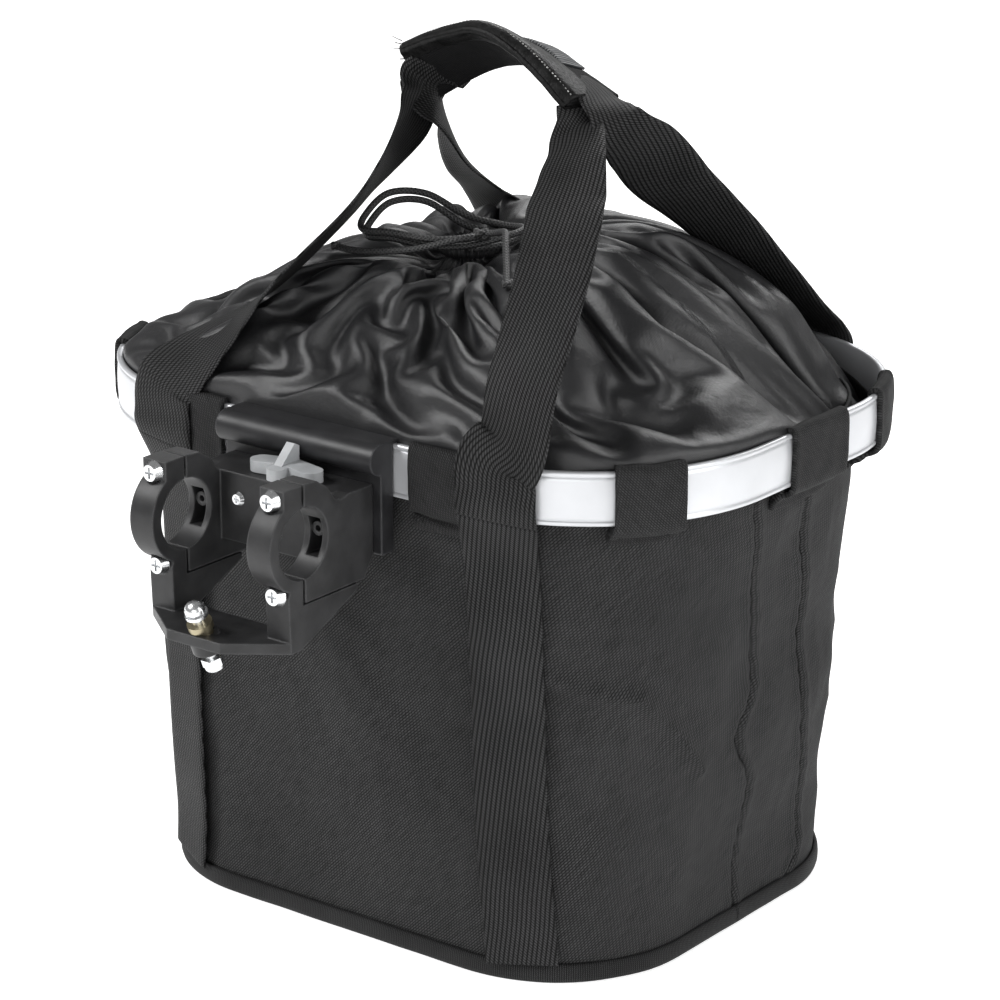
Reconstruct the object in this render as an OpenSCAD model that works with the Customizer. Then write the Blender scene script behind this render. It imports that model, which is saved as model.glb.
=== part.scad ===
// Handlebar basket with a quick-release bracket.
// Millimetres. X runs along the handlebar, the bracket stands on the -Y side and Z points up.
// The origin is the middle of the base's underside.

/* [Rim] */
// Outer length of the aluminium hoop, along the handlebar
rim_length = 342; // [320:1:370]
// Outer width of the hoop
rim_width = 260; // [250:1:280]
// Outer corner radius of the hoop
rim_corner = 94; // [85:1:105]
// Height of the hoop's top edge above the ground
rim_top = 245; // [235:1:260]
// Height of the hoop's band
rim_height = 24; // [20:1:28]
// Thickness of the hoop's band
rim_wall = 3.2; // [2.5:0.1:4]

/* [Bag] */
// Length of the bag just under the hoop
bag_top_length = 320; // [300:1:326]
// Width of the bag just under the hoop
bag_top_width = 250; // [240:1:251]
// Corner radius of the bag just under the hoop
bag_top_corner = 104; // [90:1:108]
// Length of the bag at its base
bag_base_length = 273; // [260:1:280]
// Width of the bag at its base
bag_base_width = 227; // [220:1:232]
// Corner radius of the bag at its base
bag_base_corner = 68; // [60:1:80]
// Thickness of the lined body fabric
fabric_wall = 1.6; // [1.2:0.1:2]
// Height of the binding tape round the base
binding_height = 9; // [7:0.5:12]

/* [Straps and grip] */
// Width of the webbing
strap_width = 37; // [30:1:40]
// Thickness of the webbing
strap_thick = 1.8; // [1.4:0.1:2.2]
// Distance of each strap's middle from the bag's middle
strap_offset = 101; // [92:1:102]
// Length of the padded grip
grip_length = 98; // [90:1:110]
// Width of the padded grip
grip_width = 36; // [32:1:42]
// Distance of the grip's middle from the bag's middle
grip_shift = 4; // [0:1:8]
// Height of the grip's middle above the ground
grip_middle = 393; // [388:1:400]
// Fall of the grip from its middle to its ends
grip_fall = 15; // [10:1:18]

/* [Hood] */
// Height of the hood's crown above the ground
hood_crown = 317; // [314:1:322]
// Thickness of the hood's gathered cloth
hood_wall = 3; // [2:0.5:4]
// Radius of the small mouth left when the hood is drawn shut
hood_mouth = 8; // [7:0.5:10]
// Diameter of the drawcord
cord_diameter = 3; // [2.5:0.1:3.5]

/* [Bracket] */
// Radius of the handlebar in the two clamps
bar_radius = 15.9; // [12.7:0.1:15.9]
// Distance of the handlebar's middle from the bag's middle
bar_reach = 185; // [184:1:190]
// Height of the handlebar's middle above the ground
bar_height = 214; // [213:1:216]
// Distance between the middles of the two clamps
clamp_spacing = 66; // [64:1:68]
// Width of each clamp ring
clamp_width = 13; // [12:0.5:14]
// Outer radius of each clamp ring
clamp_radius = 21.5; // [21:0.5:24]
// Angle of the support bolt from upright
bolt_tilt = 22; // [18:1:26]

/* [Hidden] */

round_fn = 96;
loft_fn = 32;
thin = 0.01;
gap = 0.3;

rim_foot = rim_top - rim_height;
bag_shoulder = rim_foot - 6;
panel_foot = 4;
panel_top = rim_top - 9;
gusset_half = 19;
board_thick = 3;
base_thick = panel_foot - gap;
binding_thick = 1.8;
binding_seat = gap + 0.4;

loop_thick = 1.3;
loop_foot = rim_foot - 4;
// Each loop's place on the hoop as x, y, turn in degrees and width
loop_places = [[69, -130, 0, 24], [-69, -130, 0, 24], [152, -90, 53, 31], [171, 6, 90, 42],
    [163, 70, 123, 31], [-163, -71, -123, 32], [-171, 6, -90, 38], [-152, 90, -127, 31],
    [66, 130, 0, 28], [-66, 130, 0, 28]];

plate_back = rim_width / 2 + 1;
plate_thick = 8;
plate_front = plate_back + plate_thick;
plate_half = 44;
plate_foot = 197;
cap_radius = 7;
cap_height = 240;
cap_top = cap_height + cap_radius;
rail_neck = 20;
rail_head = 30;
rail_foot = 199;
rail_top = 226;
adapter_screw_x = 36;
adapter_screw_z = 233;
adapter_screw_r = 2;
backing_thick = 2.6;
splice_thick = 1.4;
splice_half = 38;
rivet_x = 20;
rivet_r = 2;
rivet_hole_r = rivet_r + 0.1;

block_back = plate_front + gap;
ledge = 14.5;
split_gap = 1.5;
ear_top = 26;
screw_r = 2.5;
screw_z_top = 20.8;
screw_z_foot = -21.5;
block_low = -26.5;
wall_low = -17;
yoke_step = block_low - 0.8;
cheek_x = clamp_spacing / 2;
block_half = cheek_x + clamp_width / 2;
nut_y = 4.1;
nut_r = 4.4;
nut_high = 3.6;
head_r = 5;
head_front = -12.3;
head_front_low = -10;
wall_front = 22;
body_screw_x = -16;
body_screw_z = 3;

knob_reach = 151.5;
knob_x = 3;
stem_r = 3;
chamber_r = 7;
chamber_foot = 212;
chamber_roof = 226;
latch_foot = 204.5;
latch_top = 211;
latch_half = 5;

bolt_reach = 204.6;
bolt_level = 169.4;
bolt_r = 3;
insert_r = 4.5;
plate_low = -47;
plate_high = -42.2;

gather_x = -7;
gather_y = -12;
gather_z = 297;
dimple_r = 15;
dimple_rim_r = 46;

// Middle and turn of the drawcord's bundle, whose first axis runs along its loops
cord_place = [-16, -19, 0];
cord_turn = 33;
// Route of the drawcord from the hem, twice round the bundle and down to its end knot
cord_route = [[12, -12.6, 302.8], [24, -13, 303.6], [33, -6, 305.2], [33, 4, 304.6],
    [24, 12, 303.4], [8, 16, 303], [-10, 16, 308.8], [-26, 11, 310.6], [-35, 2, 306.8],
    [-34, -7, 306.2], [-22, -14, 309.8], [-6, -17, 307.4], [10, -17.5, 305.6], [24, -15, 307.4],
    [34, -7, 308.9], [35, 4, 308.4], [25, 13, 307.2], [8, 17, 307.5], [-10, 17, 312.2],
    [-27, 12, 314.2], [-37, 2, 310.6], [-36, -8, 309.8], [-23, -15, 313], [-6, -19, 311.2],
    [8, -19.5, 309.8], [18, -18.5, 310.6], [26, -23, 312.6], [30, -32, 315], [31, -42, 313.4],
    [32, -52, 309.2], [33, -62, 305], [33.5, -70, 301.6]];
// Route of the drawcord's other tail, from the knot to its end
tail_route = [[15.5, -22.2, 310.5], [8, -25, 311], [-2, -26, 309.8], [-14, -25, 307.8],
    [-28, -21.5, 306], [-40, -15, 304.4], [-49, -8, 302]];
knot_place = [18, -18.5, 310.6];
knot_r = 5;
end_knot_r = 2.8;

grip_roll = -44;

fabric_colour = [0.13, 0.13, 0.14];
webbing_colour = [0.08, 0.08, 0.08];
plastic_colour = [0.1, 0.1, 0.11];
zinc_colour = [0.8, 0.81, 0.83];

// ---- outlines and lofts -------------------------------------------------

// A rectangle with four round corners
module rounded_rect(length, width, corner, fn = round_fn) {
    square([length - 2 * corner, width], center = true);
    square([length, width - 2 * corner], center = true);
    for (sx = [-1, 1])
        for (sy = [-1, 1])
            translate([sx * (length / 2 - corner), sy * (width / 2 - corner)])
                circle(corner, $fn = fn);
}

// The hoop's outer outline, grown outward by a distance
module rim_outline(grow = 0, fn = round_fn) {
    rounded_rect(rim_length + 2 * grow, rim_width + 2 * grow, rim_corner + grow, fn);
}

// A ring that follows the hoop between two offsets and two heights
module rim_ring(inner, outer, low, high) {
    translate([0, 0, low])
        linear_extrude(high - low)
            difference() {
                rim_outline(outer);
                rim_outline(inner);
            }
}

function mix(a, b, t) = a + (b - a) * t;
function bag_t(z) = (z - panel_foot) / (bag_shoulder - panel_foot);

// A thin slice of the tapered bag at one height, grown outward by a distance
module bag_slice(z, grow) {
    t = bag_t(z);
    translate([0, 0, z])
        linear_extrude(thin)
            rounded_rect(mix(bag_base_length, bag_top_length, t) + 2 * grow,
                mix(bag_base_width, bag_top_width, t) + 2 * grow,
                mix(bag_base_corner, bag_top_corner, t) + grow, loft_fn);
}

// The tapered bag between two heights
module bag_loft(low, high, grow) {
    hull() {
        bag_slice(low, grow);
        bag_slice(high, grow);
    }
}

// The straight neck of the bag inside the hoop
module bag_neck(low, high, grow) {
    translate([0, 0, low])
        linear_extrude(high - low)
            rounded_rect(bag_top_length + 2 * grow, bag_top_width + 2 * grow,
                bag_top_corner + grow, loft_fn);
}

// The bag's whole fabric wall
module bag_wall() {
    difference() {
        union() {
            bag_loft(panel_foot, bag_shoulder, 0);
            bag_neck(bag_shoulder, panel_top, 0);
        }
        bag_loft(panel_foot - 1, bag_shoulder, -fabric_wall);
        bag_neck(bag_shoulder - thin, panel_top + 1, -fabric_wall);
    }
}

// ---- sweeps ------------------------------------------------------------------

function unit(v) = v / norm(v);
function catmull(a, b, c, d, t) = 0.5 * ((2 * b) + (c - a) * t + (2 * a - 5 * b + 4 * c - d) * t * t
    + (3 * b - a - 3 * c + d) * t * t * t);
function smooth_route(p, steps) = [for (i = [0 : len(p) - 2])
    for (k = [0 : steps - 1])
        catmull(p[max(i - 1, 0)], p[i], p[i + 1], p[min(i + 2, len(p) - 1)], k / steps),
    p[len(p) - 1]];

// A round tube along a list of points that never runs straight up
module tube(points, radius, sides = 8) {
    last = len(points) - 1;
    rings = [for (i = [0 : last])
        let (along = unit(points[min(i + 1, last)] - points[max(i - 1, 0)]),
            side = unit(cross(along, [0, 0, 1])),
            over = cross(side, along))
        for (k = [0 : sides - 1])
            points[i] + radius * (cos(360 * k / sides) * side + sin(360 * k / sides) * over)];
    skins = [for (i = [0 : last - 1])
        for (k = [0 : sides - 1])
            let (n = (k + 1) % sides)
            [i * sides + k, i * sides + n, (i + 1) * sides + n, (i + 1) * sides + k]];
    start_cap = [[for (k = [sides - 1 : -1 : 0]) k]];
    end_cap = [[for (k = [0 : sides - 1]) last * sides + k]];
    polyhedron(rings, concat(skins, start_cap, end_cap));
}

// ---- hoop ------------------------------------------------------------------------

module rim_band() {
    lip = 2.6;
    color("silver")
        difference() {
            union() {
                rim_ring(-rim_wall, -0.4, rim_foot, rim_top);
                rim_ring(-rim_wall, 0, rim_foot + lip, rim_top - lip);
                rim_ring(-rim_wall, 0.1, rim_foot + 0.4, rim_foot + lip);
                rim_ring(-rim_wall, 0.1, rim_top - lip, rim_top - 0.4);
            }
            for (x = [-adapter_screw_x, adapter_screw_x])
                translate([x, -rim_width / 2 - 2, adapter_screw_z])
                    rotate([-90, 0, 0])
                        cylinder(r = adapter_screw_r + 0.3, h = rim_wall + 4, $fn = 32);
            for (x = [-rivet_x, rivet_x])
                translate([x, rim_width / 2 - rim_wall - 2, rim_foot + rim_height / 2])
                    rotate([-90, 0, 0])
                        cylinder(r = rivet_hole_r, h = rim_wall + 4, $fn = 32);
        }
}

module rim_splice() {
    splice_high = 17;
    color("silver")
        difference() {
            translate([-splice_half, rim_width / 2 - rim_wall - splice_thick,
                    rim_foot + (rim_height - splice_high) / 2])
                cube([2 * splice_half, splice_thick, splice_high]);
            for (x = [-rivet_x, rivet_x])
                translate([x, rim_width / 2 - rim_wall - splice_thick - 1, rim_foot + rim_height / 2])
                    rotate([-90, 0, 0])
                        cylinder(r = rivet_hole_r, h = splice_thick + 2, $fn = 32);
        }
}

// Two blind rivets that hold the ends of the hoop on the splice
module splice_rivets() {
    color("silver")
        for (x = [-rivet_x, rivet_x])
            translate([x, rim_width / 2 - rim_wall - splice_thick, rim_foot + rim_height / 2])
                rotate([-90, 0, 0]) {
                    cylinder(r = rivet_r, h = rim_wall + splice_thick + 0.5, $fn = 32);
                    translate([0, 0, rim_wall + splice_thick + 0.1])
                        cylinder(r1 = 3.4, r2 = 2.4, h = 0.9, $fn = 32);
                }
}

// Cloth sleeves sewn to the bag that go round the hoop
module rim_loops() {
    color(fabric_colour)
        for (place = loop_places)
            intersection() {
                difference() {
                    rim_ring(-rim_wall - gap - loop_thick, gap + loop_thick, loop_foot, rim_top + gap + loop_thick);
                    rim_ring(-rim_wall - gap, gap, rim_foot - gap, rim_top + gap);
                }
                translate([place[0], place[1], (loop_foot + rim_top) / 2])
                    rotate([0, 0, place[2]])
                        cube([place[3], 26, rim_height * 2], center = true);
            }
}

// ---- adapter on the hoop ------------------------------------------------------

// Moulded plate with a half-round cap over the hoop and a T-slot for the bracket's rail
module hook_plate() {
    lid = 1.6;
    color(plastic_colour)
        difference() {
            union() {
                translate([-plate_half, -plate_front, plate_foot])
                    cube([2 * plate_half, plate_thick, cap_top - plate_foot]);
                translate([-plate_half, -plate_front, cap_height])
                    rotate([0, 90, 0])
                        cylinder(r = cap_radius, h = 2 * plate_half, $fn = round_fn);
                translate([-plate_half, -plate_front, cap_top - lid])
                    cube([2 * plate_half, plate_thick + 7.5, lid]);
            }
            translate([-rail_neck / 2 - gap, -plate_front - 1, plate_foot - 1])
                cube([rail_neck + 2 * gap, plate_thick - 1, rail_top + gap - plate_foot + 1]);
            translate([-rail_head / 2 - gap, -plate_front + 2.5, plate_foot - 1])
                cube([rail_head + 2 * gap, 3.2, rail_top + gap - plate_foot + 1]);
            for (x = [-adapter_screw_x, adapter_screw_x])
                translate([x, -plate_back + 1, adapter_screw_z])
                    rotate([90, 0, 0])
                        cylinder(r = adapter_screw_r + 0.05, h = 7.5, $fn = 32);
        }
}

module backing_plate() {
    color(plastic_colour)
        difference() {
            translate([-plate_half, -rim_width / 2 + rim_wall + gap, rim_foot + 1])
                cube([2 * plate_half, backing_thick, rim_height - 2]);
            for (x = [-adapter_screw_x, adapter_screw_x])
                translate([x, -rim_width / 2 + rim_wall - 1, adapter_screw_z])
                    rotate([-90, 0, 0])
                        cylinder(r = adapter_screw_r + 0.2, h = 8, $fn = 32);
        }
}

// A pan-head screw whose head sits at the origin and whose shaft points along +Y
module pan_screw(shaft_r, shaft_length, head_r, head_high) {
    rotate([-90, 0, 0]) {
        cylinder(r = shaft_r, h = shaft_length, $fn = 32);
        difference() {
            translate([0, 0, -head_high])
                cylinder(r1 = head_r * 0.72, r2 = head_r, h = head_high, $fn = 48);
            for (turn = [0, 90])
                rotate([0, 0, turn])
                    translate([-head_r * 0.5, -0.5, -head_high - 1])
                        cube([head_r, 1, 1 + head_high * 0.6]);
        }
    }
}

module adapter_screws() {
    color(zinc_colour)
        for (x = [-adapter_screw_x, adapter_screw_x])
            translate([x, -rim_width / 2 + rim_wall + gap + backing_thick, adapter_screw_z])
                rotate([0, 0, 180])
                    pan_screw(adapter_screw_r, 13, 3.8, 1.5);
}

// ---- bag ------------------------------------------------------------------------------

module side_panel(sign) {
    color(fabric_colour)
        intersection() {
            bag_wall();
            translate([-rim_length / 2, sign > 0 ? gusset_half : -rim_width - gusset_half, 0])
                cube([rim_length, rim_width, rim_top]);
        }
}

module end_gusset(sign) {
    color(fabric_colour)
        intersection() {
            bag_wall();
            translate([sign > 0 ? 0 : -rim_length, -gusset_half, 0])
                cube([rim_length, 2 * gusset_half, rim_top]);
        }
}

// The panel on the bracket's side stops below the backing plate
module mount_side_panel() {
    difference() {
        side_panel(-1);
        translate([-plate_half - 1, -rim_width / 2, rim_foot - 1])
            cube([2 * plate_half + 2, rim_width / 2, rim_height]);
    }
}

module far_side_panel() { side_panel(1); }
module right_end_gusset() { end_gusset(1); }
module left_end_gusset() { end_gusset(-1); }

module base_panel() {
    color(fabric_colour)
        linear_extrude(base_thick)
            rounded_rect(bag_base_length, bag_base_width, bag_base_corner);
}

module base_board() {
    inset = 2 * (fabric_wall + 1);
    color("dimgray")
        translate([0, 0, base_thick])
            linear_extrude(board_thick)
                rounded_rect(bag_base_length - inset, bag_base_width - inset,
                    bag_base_corner - inset / 2);
}

// Woven tape round the base's edge, with a lower lip under the seam
module base_binding() {
    color(webbing_colour)
        linear_extrude(binding_height)
            difference() {
                rounded_rect(bag_base_length + 2 * (binding_seat + binding_thick),
                    bag_base_width + 2 * (binding_seat + binding_thick),
                    bag_base_corner + binding_seat + binding_thick);
                rounded_rect(bag_base_length + 2 * binding_seat, bag_base_width + 2 * binding_seat,
                    bag_base_corner + binding_seat);
            }
}

// ---- webbing -----------------------------------------------------------------------

// A thin slice of the hoop's outline, as the upper end of a flare
module rim_slice(z, grow) {
    translate([0, 0, z])
        linear_extrude(thin)
            rim_outline(grow, loft_fn);
}

// The two straps sewn to one long side, from the binding up to the hoop
module strap_runs(sign) {
    run_foot = binding_height + 0.5;
    run_bend = bag_shoulder - 6;
    run_top = rim_foot - 1;
    color(webbing_colour)
        intersection() {
            difference() {
                union() {
                    bag_loft(run_foot, run_bend, gap + strap_thick);
                    hull() {
                        bag_slice(run_bend, gap + strap_thick);
                        rim_slice(run_top, gap + strap_thick);
                    }
                }
                bag_loft(run_foot - 1, run_bend + thin, gap);
                hull() {
                    bag_slice(run_bend, gap);
                    rim_slice(run_top + 2 * thin, gap);
                }
            }
            for (x = [-strap_offset, strap_offset])
                translate([x - strap_width / 2, sign > 0 ? 0 : -rim_width, 0])
                    cube([strap_width, rim_width, rim_top]);
        }
}

module mount_strap_runs() { strap_runs(-1); }
module far_strap_runs() { strap_runs(1); }

// A thin cross-section of webbing, turned about Z
module strap_station(place, turn, width) {
    translate(place)
        rotate([0, 0, turn])
            cube([width, strap_thick, strap_thick], center = true);
}

// Webbing from the hoop's foot over its outside and up to the grip's end
module carry_strap(sx, sy, top_x, top_z, mid_turn, top_turn) {
    reach = rim_width / 2 - 1.5;
    mid = [mix(strap_offset, top_x, 0.38), mix(reach, 12, 0.38), mix(rim_top + 3, top_z, 0.4)];
    color(webbing_colour)
        mirror([sx < 0 ? 1 : 0, 0, 0])
        mirror([0, sy < 0 ? 1 : 0, 0]) {
            intersection() {
                rim_ring(gap, gap + strap_thick, rim_foot - 0.6, rim_top + 3);
                translate([strap_offset - strap_width / 2, 0, 0])
                    cube([strap_width, rim_width, rim_top + 10]);
            }
            hull() {
                strap_station([strap_offset + 1, reach, rim_top + 3], -15, strap_width - 4);
                strap_station(mid, mid_turn, strap_width - 4);
            }
            hull() {
                strap_station(mid, mid_turn, strap_width - 4);
                strap_station([top_x, 12, top_z], top_turn, 20);
            }
        }
}

module carry_strap_mount_right() { carry_strap(1, -1, 60, 369, 9, 27); }
module carry_strap_mount_left() { carry_strap(-1, -1, 53, 359, 30, 50); }
module carry_strap_far_right() { carry_strap(1, 1, 60, 369, -10, 25); }
module carry_strap_far_left() { carry_strap(-1, 1, 53, 355, 20, 45); }

function grip_z(x) = grip_middle - grip_fall * pow(2 * x / grip_length, 2);

// One cross-section of the padded grip
module grip_station(x, width, depth) {
    translate([grip_shift + x, 0, grip_z(x)])
        rotate([grip_roll * (0.5 - x / grip_length), 0, 0])
            rotate([0, 90, 0])
                linear_extrude(thin, center = true)
                    rounded_rect(depth, width, depth / 2 - thin, loft_fn);
}

module handle_grip() {
    steps = 5;
    depth = 9;
    pitch = grip_length / steps;
    color("black")
        for (i = [0 : steps - 1])
            hull() {
                grip_station(-grip_length / 2 + i * pitch, grip_width, depth);
                grip_station(-grip_length / 2 + (i + 1) * pitch, grip_width, depth);
            }
}

module patch_station(x) {
    translate([grip_shift + x, 0, grip_z(x)])
        rotate([grip_roll * (0.5 - x / grip_length), 0, 0])
            translate([0, 6, 6.3])
                cube([thin, 20, 1.4], center = true);
}

// Ribbed loop-side patch on the grip's far shoulder
module grip_patch() {
    color("gray")
        for (x = [2, 14])
            hull() {
                patch_station(x);
                patch_station(x + 12);
            }
}

// ---- hood ------------------------------------------------------------------------------

// Height, length, width, corner and sideways place of the hood's slices
hood_slices = [[rim_foot + 9, 314, 244, 98, [0, 0]], [rim_top + 4, 312, 240, 96, [0, 0]],
    [rim_top + 20, 286, 208, 88, [2, 0]], [rim_top + 40, 232, 156, 68, [6, 1]],
    [hood_crown - 17, 180, 116, 50, [12, 2]], [hood_crown - 6, 116, 80, 38, [22, 5]],
    [hood_crown, 60, 44, 21, [30, 9]]];

module hood_dome(shrink) {
    hull()
        for (slice = hood_slices)
            translate([slice[4][0], slice[4][1], slice[0] - (slice[0] > rim_top ? shrink : sign(shrink))])
                linear_extrude(thin)
                    rounded_rect(slice[1] - 2 * shrink, slice[2] - 2 * shrink, slice[3] - shrink, loft_fn);
}

// The hollow that the drawn hem pulls into the crown
module hood_dimple(sink) {
    translate([gather_x, gather_y, gather_z - sink])
        cylinder(r1 = dimple_r + sink, r2 = dimple_rim_r + sink, h = hood_crown - gather_z + 1, $fn = round_fn);
}

module hood() {
    color([0.16, 0.16, 0.17])
        difference() {
            hood_dome(0);
            difference() {
                hood_dome(hood_wall);
                hood_dimple(hood_wall);
            }
            hood_dimple(0);
            translate([gather_x, gather_y, gather_z - 20])
                cylinder(r = hood_mouth, h = 60, $fn = round_fn);
        }
}

// Hem channel round the drawn mouth
module hood_hem() {
    hem_r = 3;
    color([0.16, 0.16, 0.17])
        translate([gather_x, gather_y, gather_z + hem_r])
            rotate_extrude($fn = 48)
                translate([hood_mouth + hem_r + 0.3, 0])
                    circle(hem_r, $fn = 24);
}

// Moves its children from the bundle's own axes to their place
module at_cord() {
    translate(cord_place)
        rotate([0, 0, cord_turn])
            children();
}

module drawcord() {
    color("black")
        at_cord()
            tube(smooth_route(cord_route, 2), cord_diameter / 2);
}

module cord_tail() {
    color("black")
        at_cord()
            tube(smooth_route(tail_route, 2), cord_diameter / 2);
}

module cord_knot() {
    color("black")
        at_cord()
            translate(knot_place)
                sphere(knot_r, $fn = 24);
}

module cord_ends() {
    color("black")
        at_cord()
            for (place = [cord_route[len(cord_route) - 1], tail_route[len(tail_route) - 1]])
                translate(place)
                    sphere(end_knot_r, $fn = 24);
}

// ---- bracket ------------------------------------------------------------------------

// Moves its children from the handlebar's middle to their place
module at_bar() {
    translate([0, -bar_reach, bar_height])
        children();
}

// A prism along X whose outline is given in Y and Z
module prism_x(points, width) {
    rotate([90, 0, 90])
        linear_extrude(width, center = true)
            polygon(points);
}

module bar_hole() {
    rotate([0, 90, 0])
        cylinder(r = bar_radius, h = 4 * clamp_spacing, center = true, $fn = round_fn);
}

module clamp_ring() {
    rotate([0, 90, 0])
        cylinder(r = clamp_radius, h = clamp_width, center = true, $fn = round_fn);
}

module clamp_screw_holes(radius) {
    for (z = [screw_z_top, screw_z_foot])
        translate([0, -30, z])
            rotate([-90, 0, 0])
                cylinder(r = radius, h = 60, $fn = 32);
}

block_rear = bar_reach - block_back;
cheek_points = [[split_gap / 2, ear_top], [9, ear_top - 0.5], [16, 21], [21, 14.6], [25, 13.2], [30, ledge],
    [block_rear, ledge], [block_rear, wall_low], [block_rear - 6, block_low], [split_gap / 2, block_low]];

// Moulded block: rear clamp halves, cross wall, ledge and T-rail
module bracket_body() {
    back = block_rear;
    color(plastic_colour)
        at_bar()
            difference() {
                union() {
                    for (x = [-cheek_x, cheek_x])
                        translate([x, 0, 0])
                            prism_x(cheek_points, clamp_width);
                    prism_x([[wall_front, ledge], [back, ledge], [back, wall_low], [wall_front, wall_low]],
                        clamp_spacing);
                    translate([-rail_neck / 2, back - 1, rail_foot - bar_height])
                        cube([rail_neck, 4.6, rail_top - rail_foot]);
                    translate([-rail_head / 2, back + 3.1, rail_foot - bar_height])
                        cube([rail_head, 2.5, rail_top - rail_foot]);
                }
                bar_hole();
                for (x = [-cheek_x, cheek_x])
                    translate([x, 0, 0]) {
                        clamp_screw_holes(screw_r + 0.2);
                        for (z = [screw_z_top, screw_z_foot])
                            translate([0, nut_y - 0.1, z])
                                rotate([-90, 0, 0])
                                    cylinder(r = nut_r + gap, h = nut_high + gap, $fn = 6);
                        bore_window();
                    }
                latch_cuts();
                translate([body_screw_x, wall_front - 1, body_screw_z])
                    rotate([-90, 0, 0])
                        cylinder(r = 1.6, h = 9, $fn = 32);
            }
}

// A rectangular pocket behind each bore, with a moulded boss left in it
module bore_window() {
    difference() {
        translate([-3.4, 10, -10])
            cube([6.8, 18, 17]);
        translate([0, 17, 1])
            rotate([-90, 0, 0])
                difference() {
                    cylinder(r = 3.2, h = 20, $fn = 32);
                    translate([0, 0, -1])
                        cylinder(r = 1.5, h = 10, $fn = 32);
                }
    }
}

// Room inside the block for the knob's stem, its spring and the latch
module latch_cuts() {
    knob_y = bar_reach - knob_reach;
    translate([knob_x, knob_y, chamber_foot - bar_height]) {
        cylinder(r = chamber_r, h = chamber_roof - chamber_foot, $fn = round_fn);
        cylinder(r = stem_r + gap, h = 40, $fn = round_fn);
    }
    translate([knob_x - latch_half - gap, knob_y - 15, latch_foot - gap - bar_height])
        cube([2 * (latch_half + gap), 40, latch_top - latch_foot + 2 * gap]);
    translate([knob_x - stem_r - gap, knob_y - 12, -15])
        cube([2 * (stem_r + gap), 18, 14]);
}

// A flat seat for one screw head, open towards the front
module head_seat(y, z) {
    translate([0, y - 30, z])
        rotate([-90, 0, 0])
            cylinder(r = head_r + gap, h = 30, $fn = 48);
}

// Front halves of both clamps with their arms and the plate that carries the support bolt
module clamp_yoke() {
    arm_points = [[-split_gap / 2, -14], [-8, -17], [-10, -22], [-9, plate_low], [-3, plate_low],
        [35, -30], [35, yoke_step], [-split_gap / 2, yoke_step]];
    plate_points = [[-block_half, -9], [-15, -27], [15, -27], [block_half, -9], [block_half, -1],
        [block_half - clamp_width, 3], [clamp_width - block_half, 3], [-block_half, -1]];
    color(plastic_colour)
        at_bar()
            difference() {
                union() {
                    for (x = [-cheek_x, cheek_x])
                        translate([x, 0, 0]) {
                            clamp_ring();
                            translate([0, -6.5, screw_z_top])
                                cube([clamp_width, 11.5, 2 * (ear_top - screw_z_top)], center = true);
                            prism_x(arm_points, clamp_width);
                        }
                    translate([0, 0, plate_low])
                        linear_extrude(plate_high - plate_low)
                            polygon(plate_points);
                    bolt_frame()
                        translate([0, 0, -6])
                            cylinder(r = 7, h = 8, $fn = round_fn);
                }
                bar_hole();
                translate([-2 * clamp_spacing, -split_gap / 2, yoke_step])
                    cube([4 * clamp_spacing, 60, 60]);
                for (x = [-cheek_x, cheek_x])
                    translate([x, 0, 0]) {
                        clamp_screw_holes(screw_r + 0.2);
                        head_seat(head_front, screw_z_top);
                        head_seat(head_front_low, screw_z_foot);
                    }
                bolt_frame()
                    translate([0, 0, -30])
                        cylinder(r = insert_r, h = 60, $fn = round_fn);
            }
}

module clamp_screws() {
    color(zinc_colour)
        at_bar()
            for (x = [-cheek_x, cheek_x])
                for (z = [screw_z_top, screw_z_foot])
                    translate([x, z > 0 ? head_front : head_front_low, z])
                        pan_screw(screw_r, 20, head_r, 3.4);
}

module clamp_nuts() {
    color(zinc_colour)
        at_bar()
            for (x = [-cheek_x, cheek_x])
                for (z = [screw_z_top, screw_z_foot])
                    translate([x, nut_y, z])
                        rotate([-90, 0, 0])
                            difference() {
                                cylinder(r = nut_r, h = nut_high, $fn = 6);
                                translate([0, 0, -1])
                                    cylinder(r = screw_r + 0.05, h = 6, $fn = 32);
                            }
}

module body_screw() {
    color(zinc_colour)
        at_bar()
            translate([body_screw_x, wall_front, body_screw_z])
                pan_screw(1.55, 7, 3.2, 1.6);
}

// Moves its children to the support bolt's tilted axis, as seen from the handlebar's middle
module bolt_frame() {
    translate([0, bar_reach - bolt_reach, bolt_level - bar_height])
        rotate([bolt_tilt, 0, 0])
            children();
}

module support_bolt() {
    head_low = 12;
    color(zinc_colour)
        at_bar()
            bolt_frame() {
                translate([0, 0, -16])
                    cylinder(r = bolt_r, h = head_low + 17, $fn = 48);
                translate([0, 0, head_low])
                    cylinder(r = 5.2, h = 1.4, $fn = 48);
                translate([0, 0, head_low + 1.4])
                    cylinder(r = 4.6, h = 3.2, $fn = 6);
                translate([0, 0, head_low + 2.2])
                    intersection() {
                        sphere(4.8, $fn = 48);
                        cylinder(r = 4.4, h = 5, $fn = 48);
                    }
            }
}

// Brass insert pressed into the yoke's plate
module support_insert() {
    color("goldenrod")
        at_bar()
            bolt_frame()
                difference() {
                    union() {
                        translate([0, 0, -5.5])
                            cylinder(r = insert_r, h = 12, $fn = round_fn);
                        translate([0, 0, 5.3])
                            cylinder(r = insert_r + 1.1, h = 3, $fn = round_fn);
                    }
                    translate([0, 0, -10])
                        cylinder(r = bolt_r + 0.06, h = 30, $fn = round_fn);
                }
}

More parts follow.
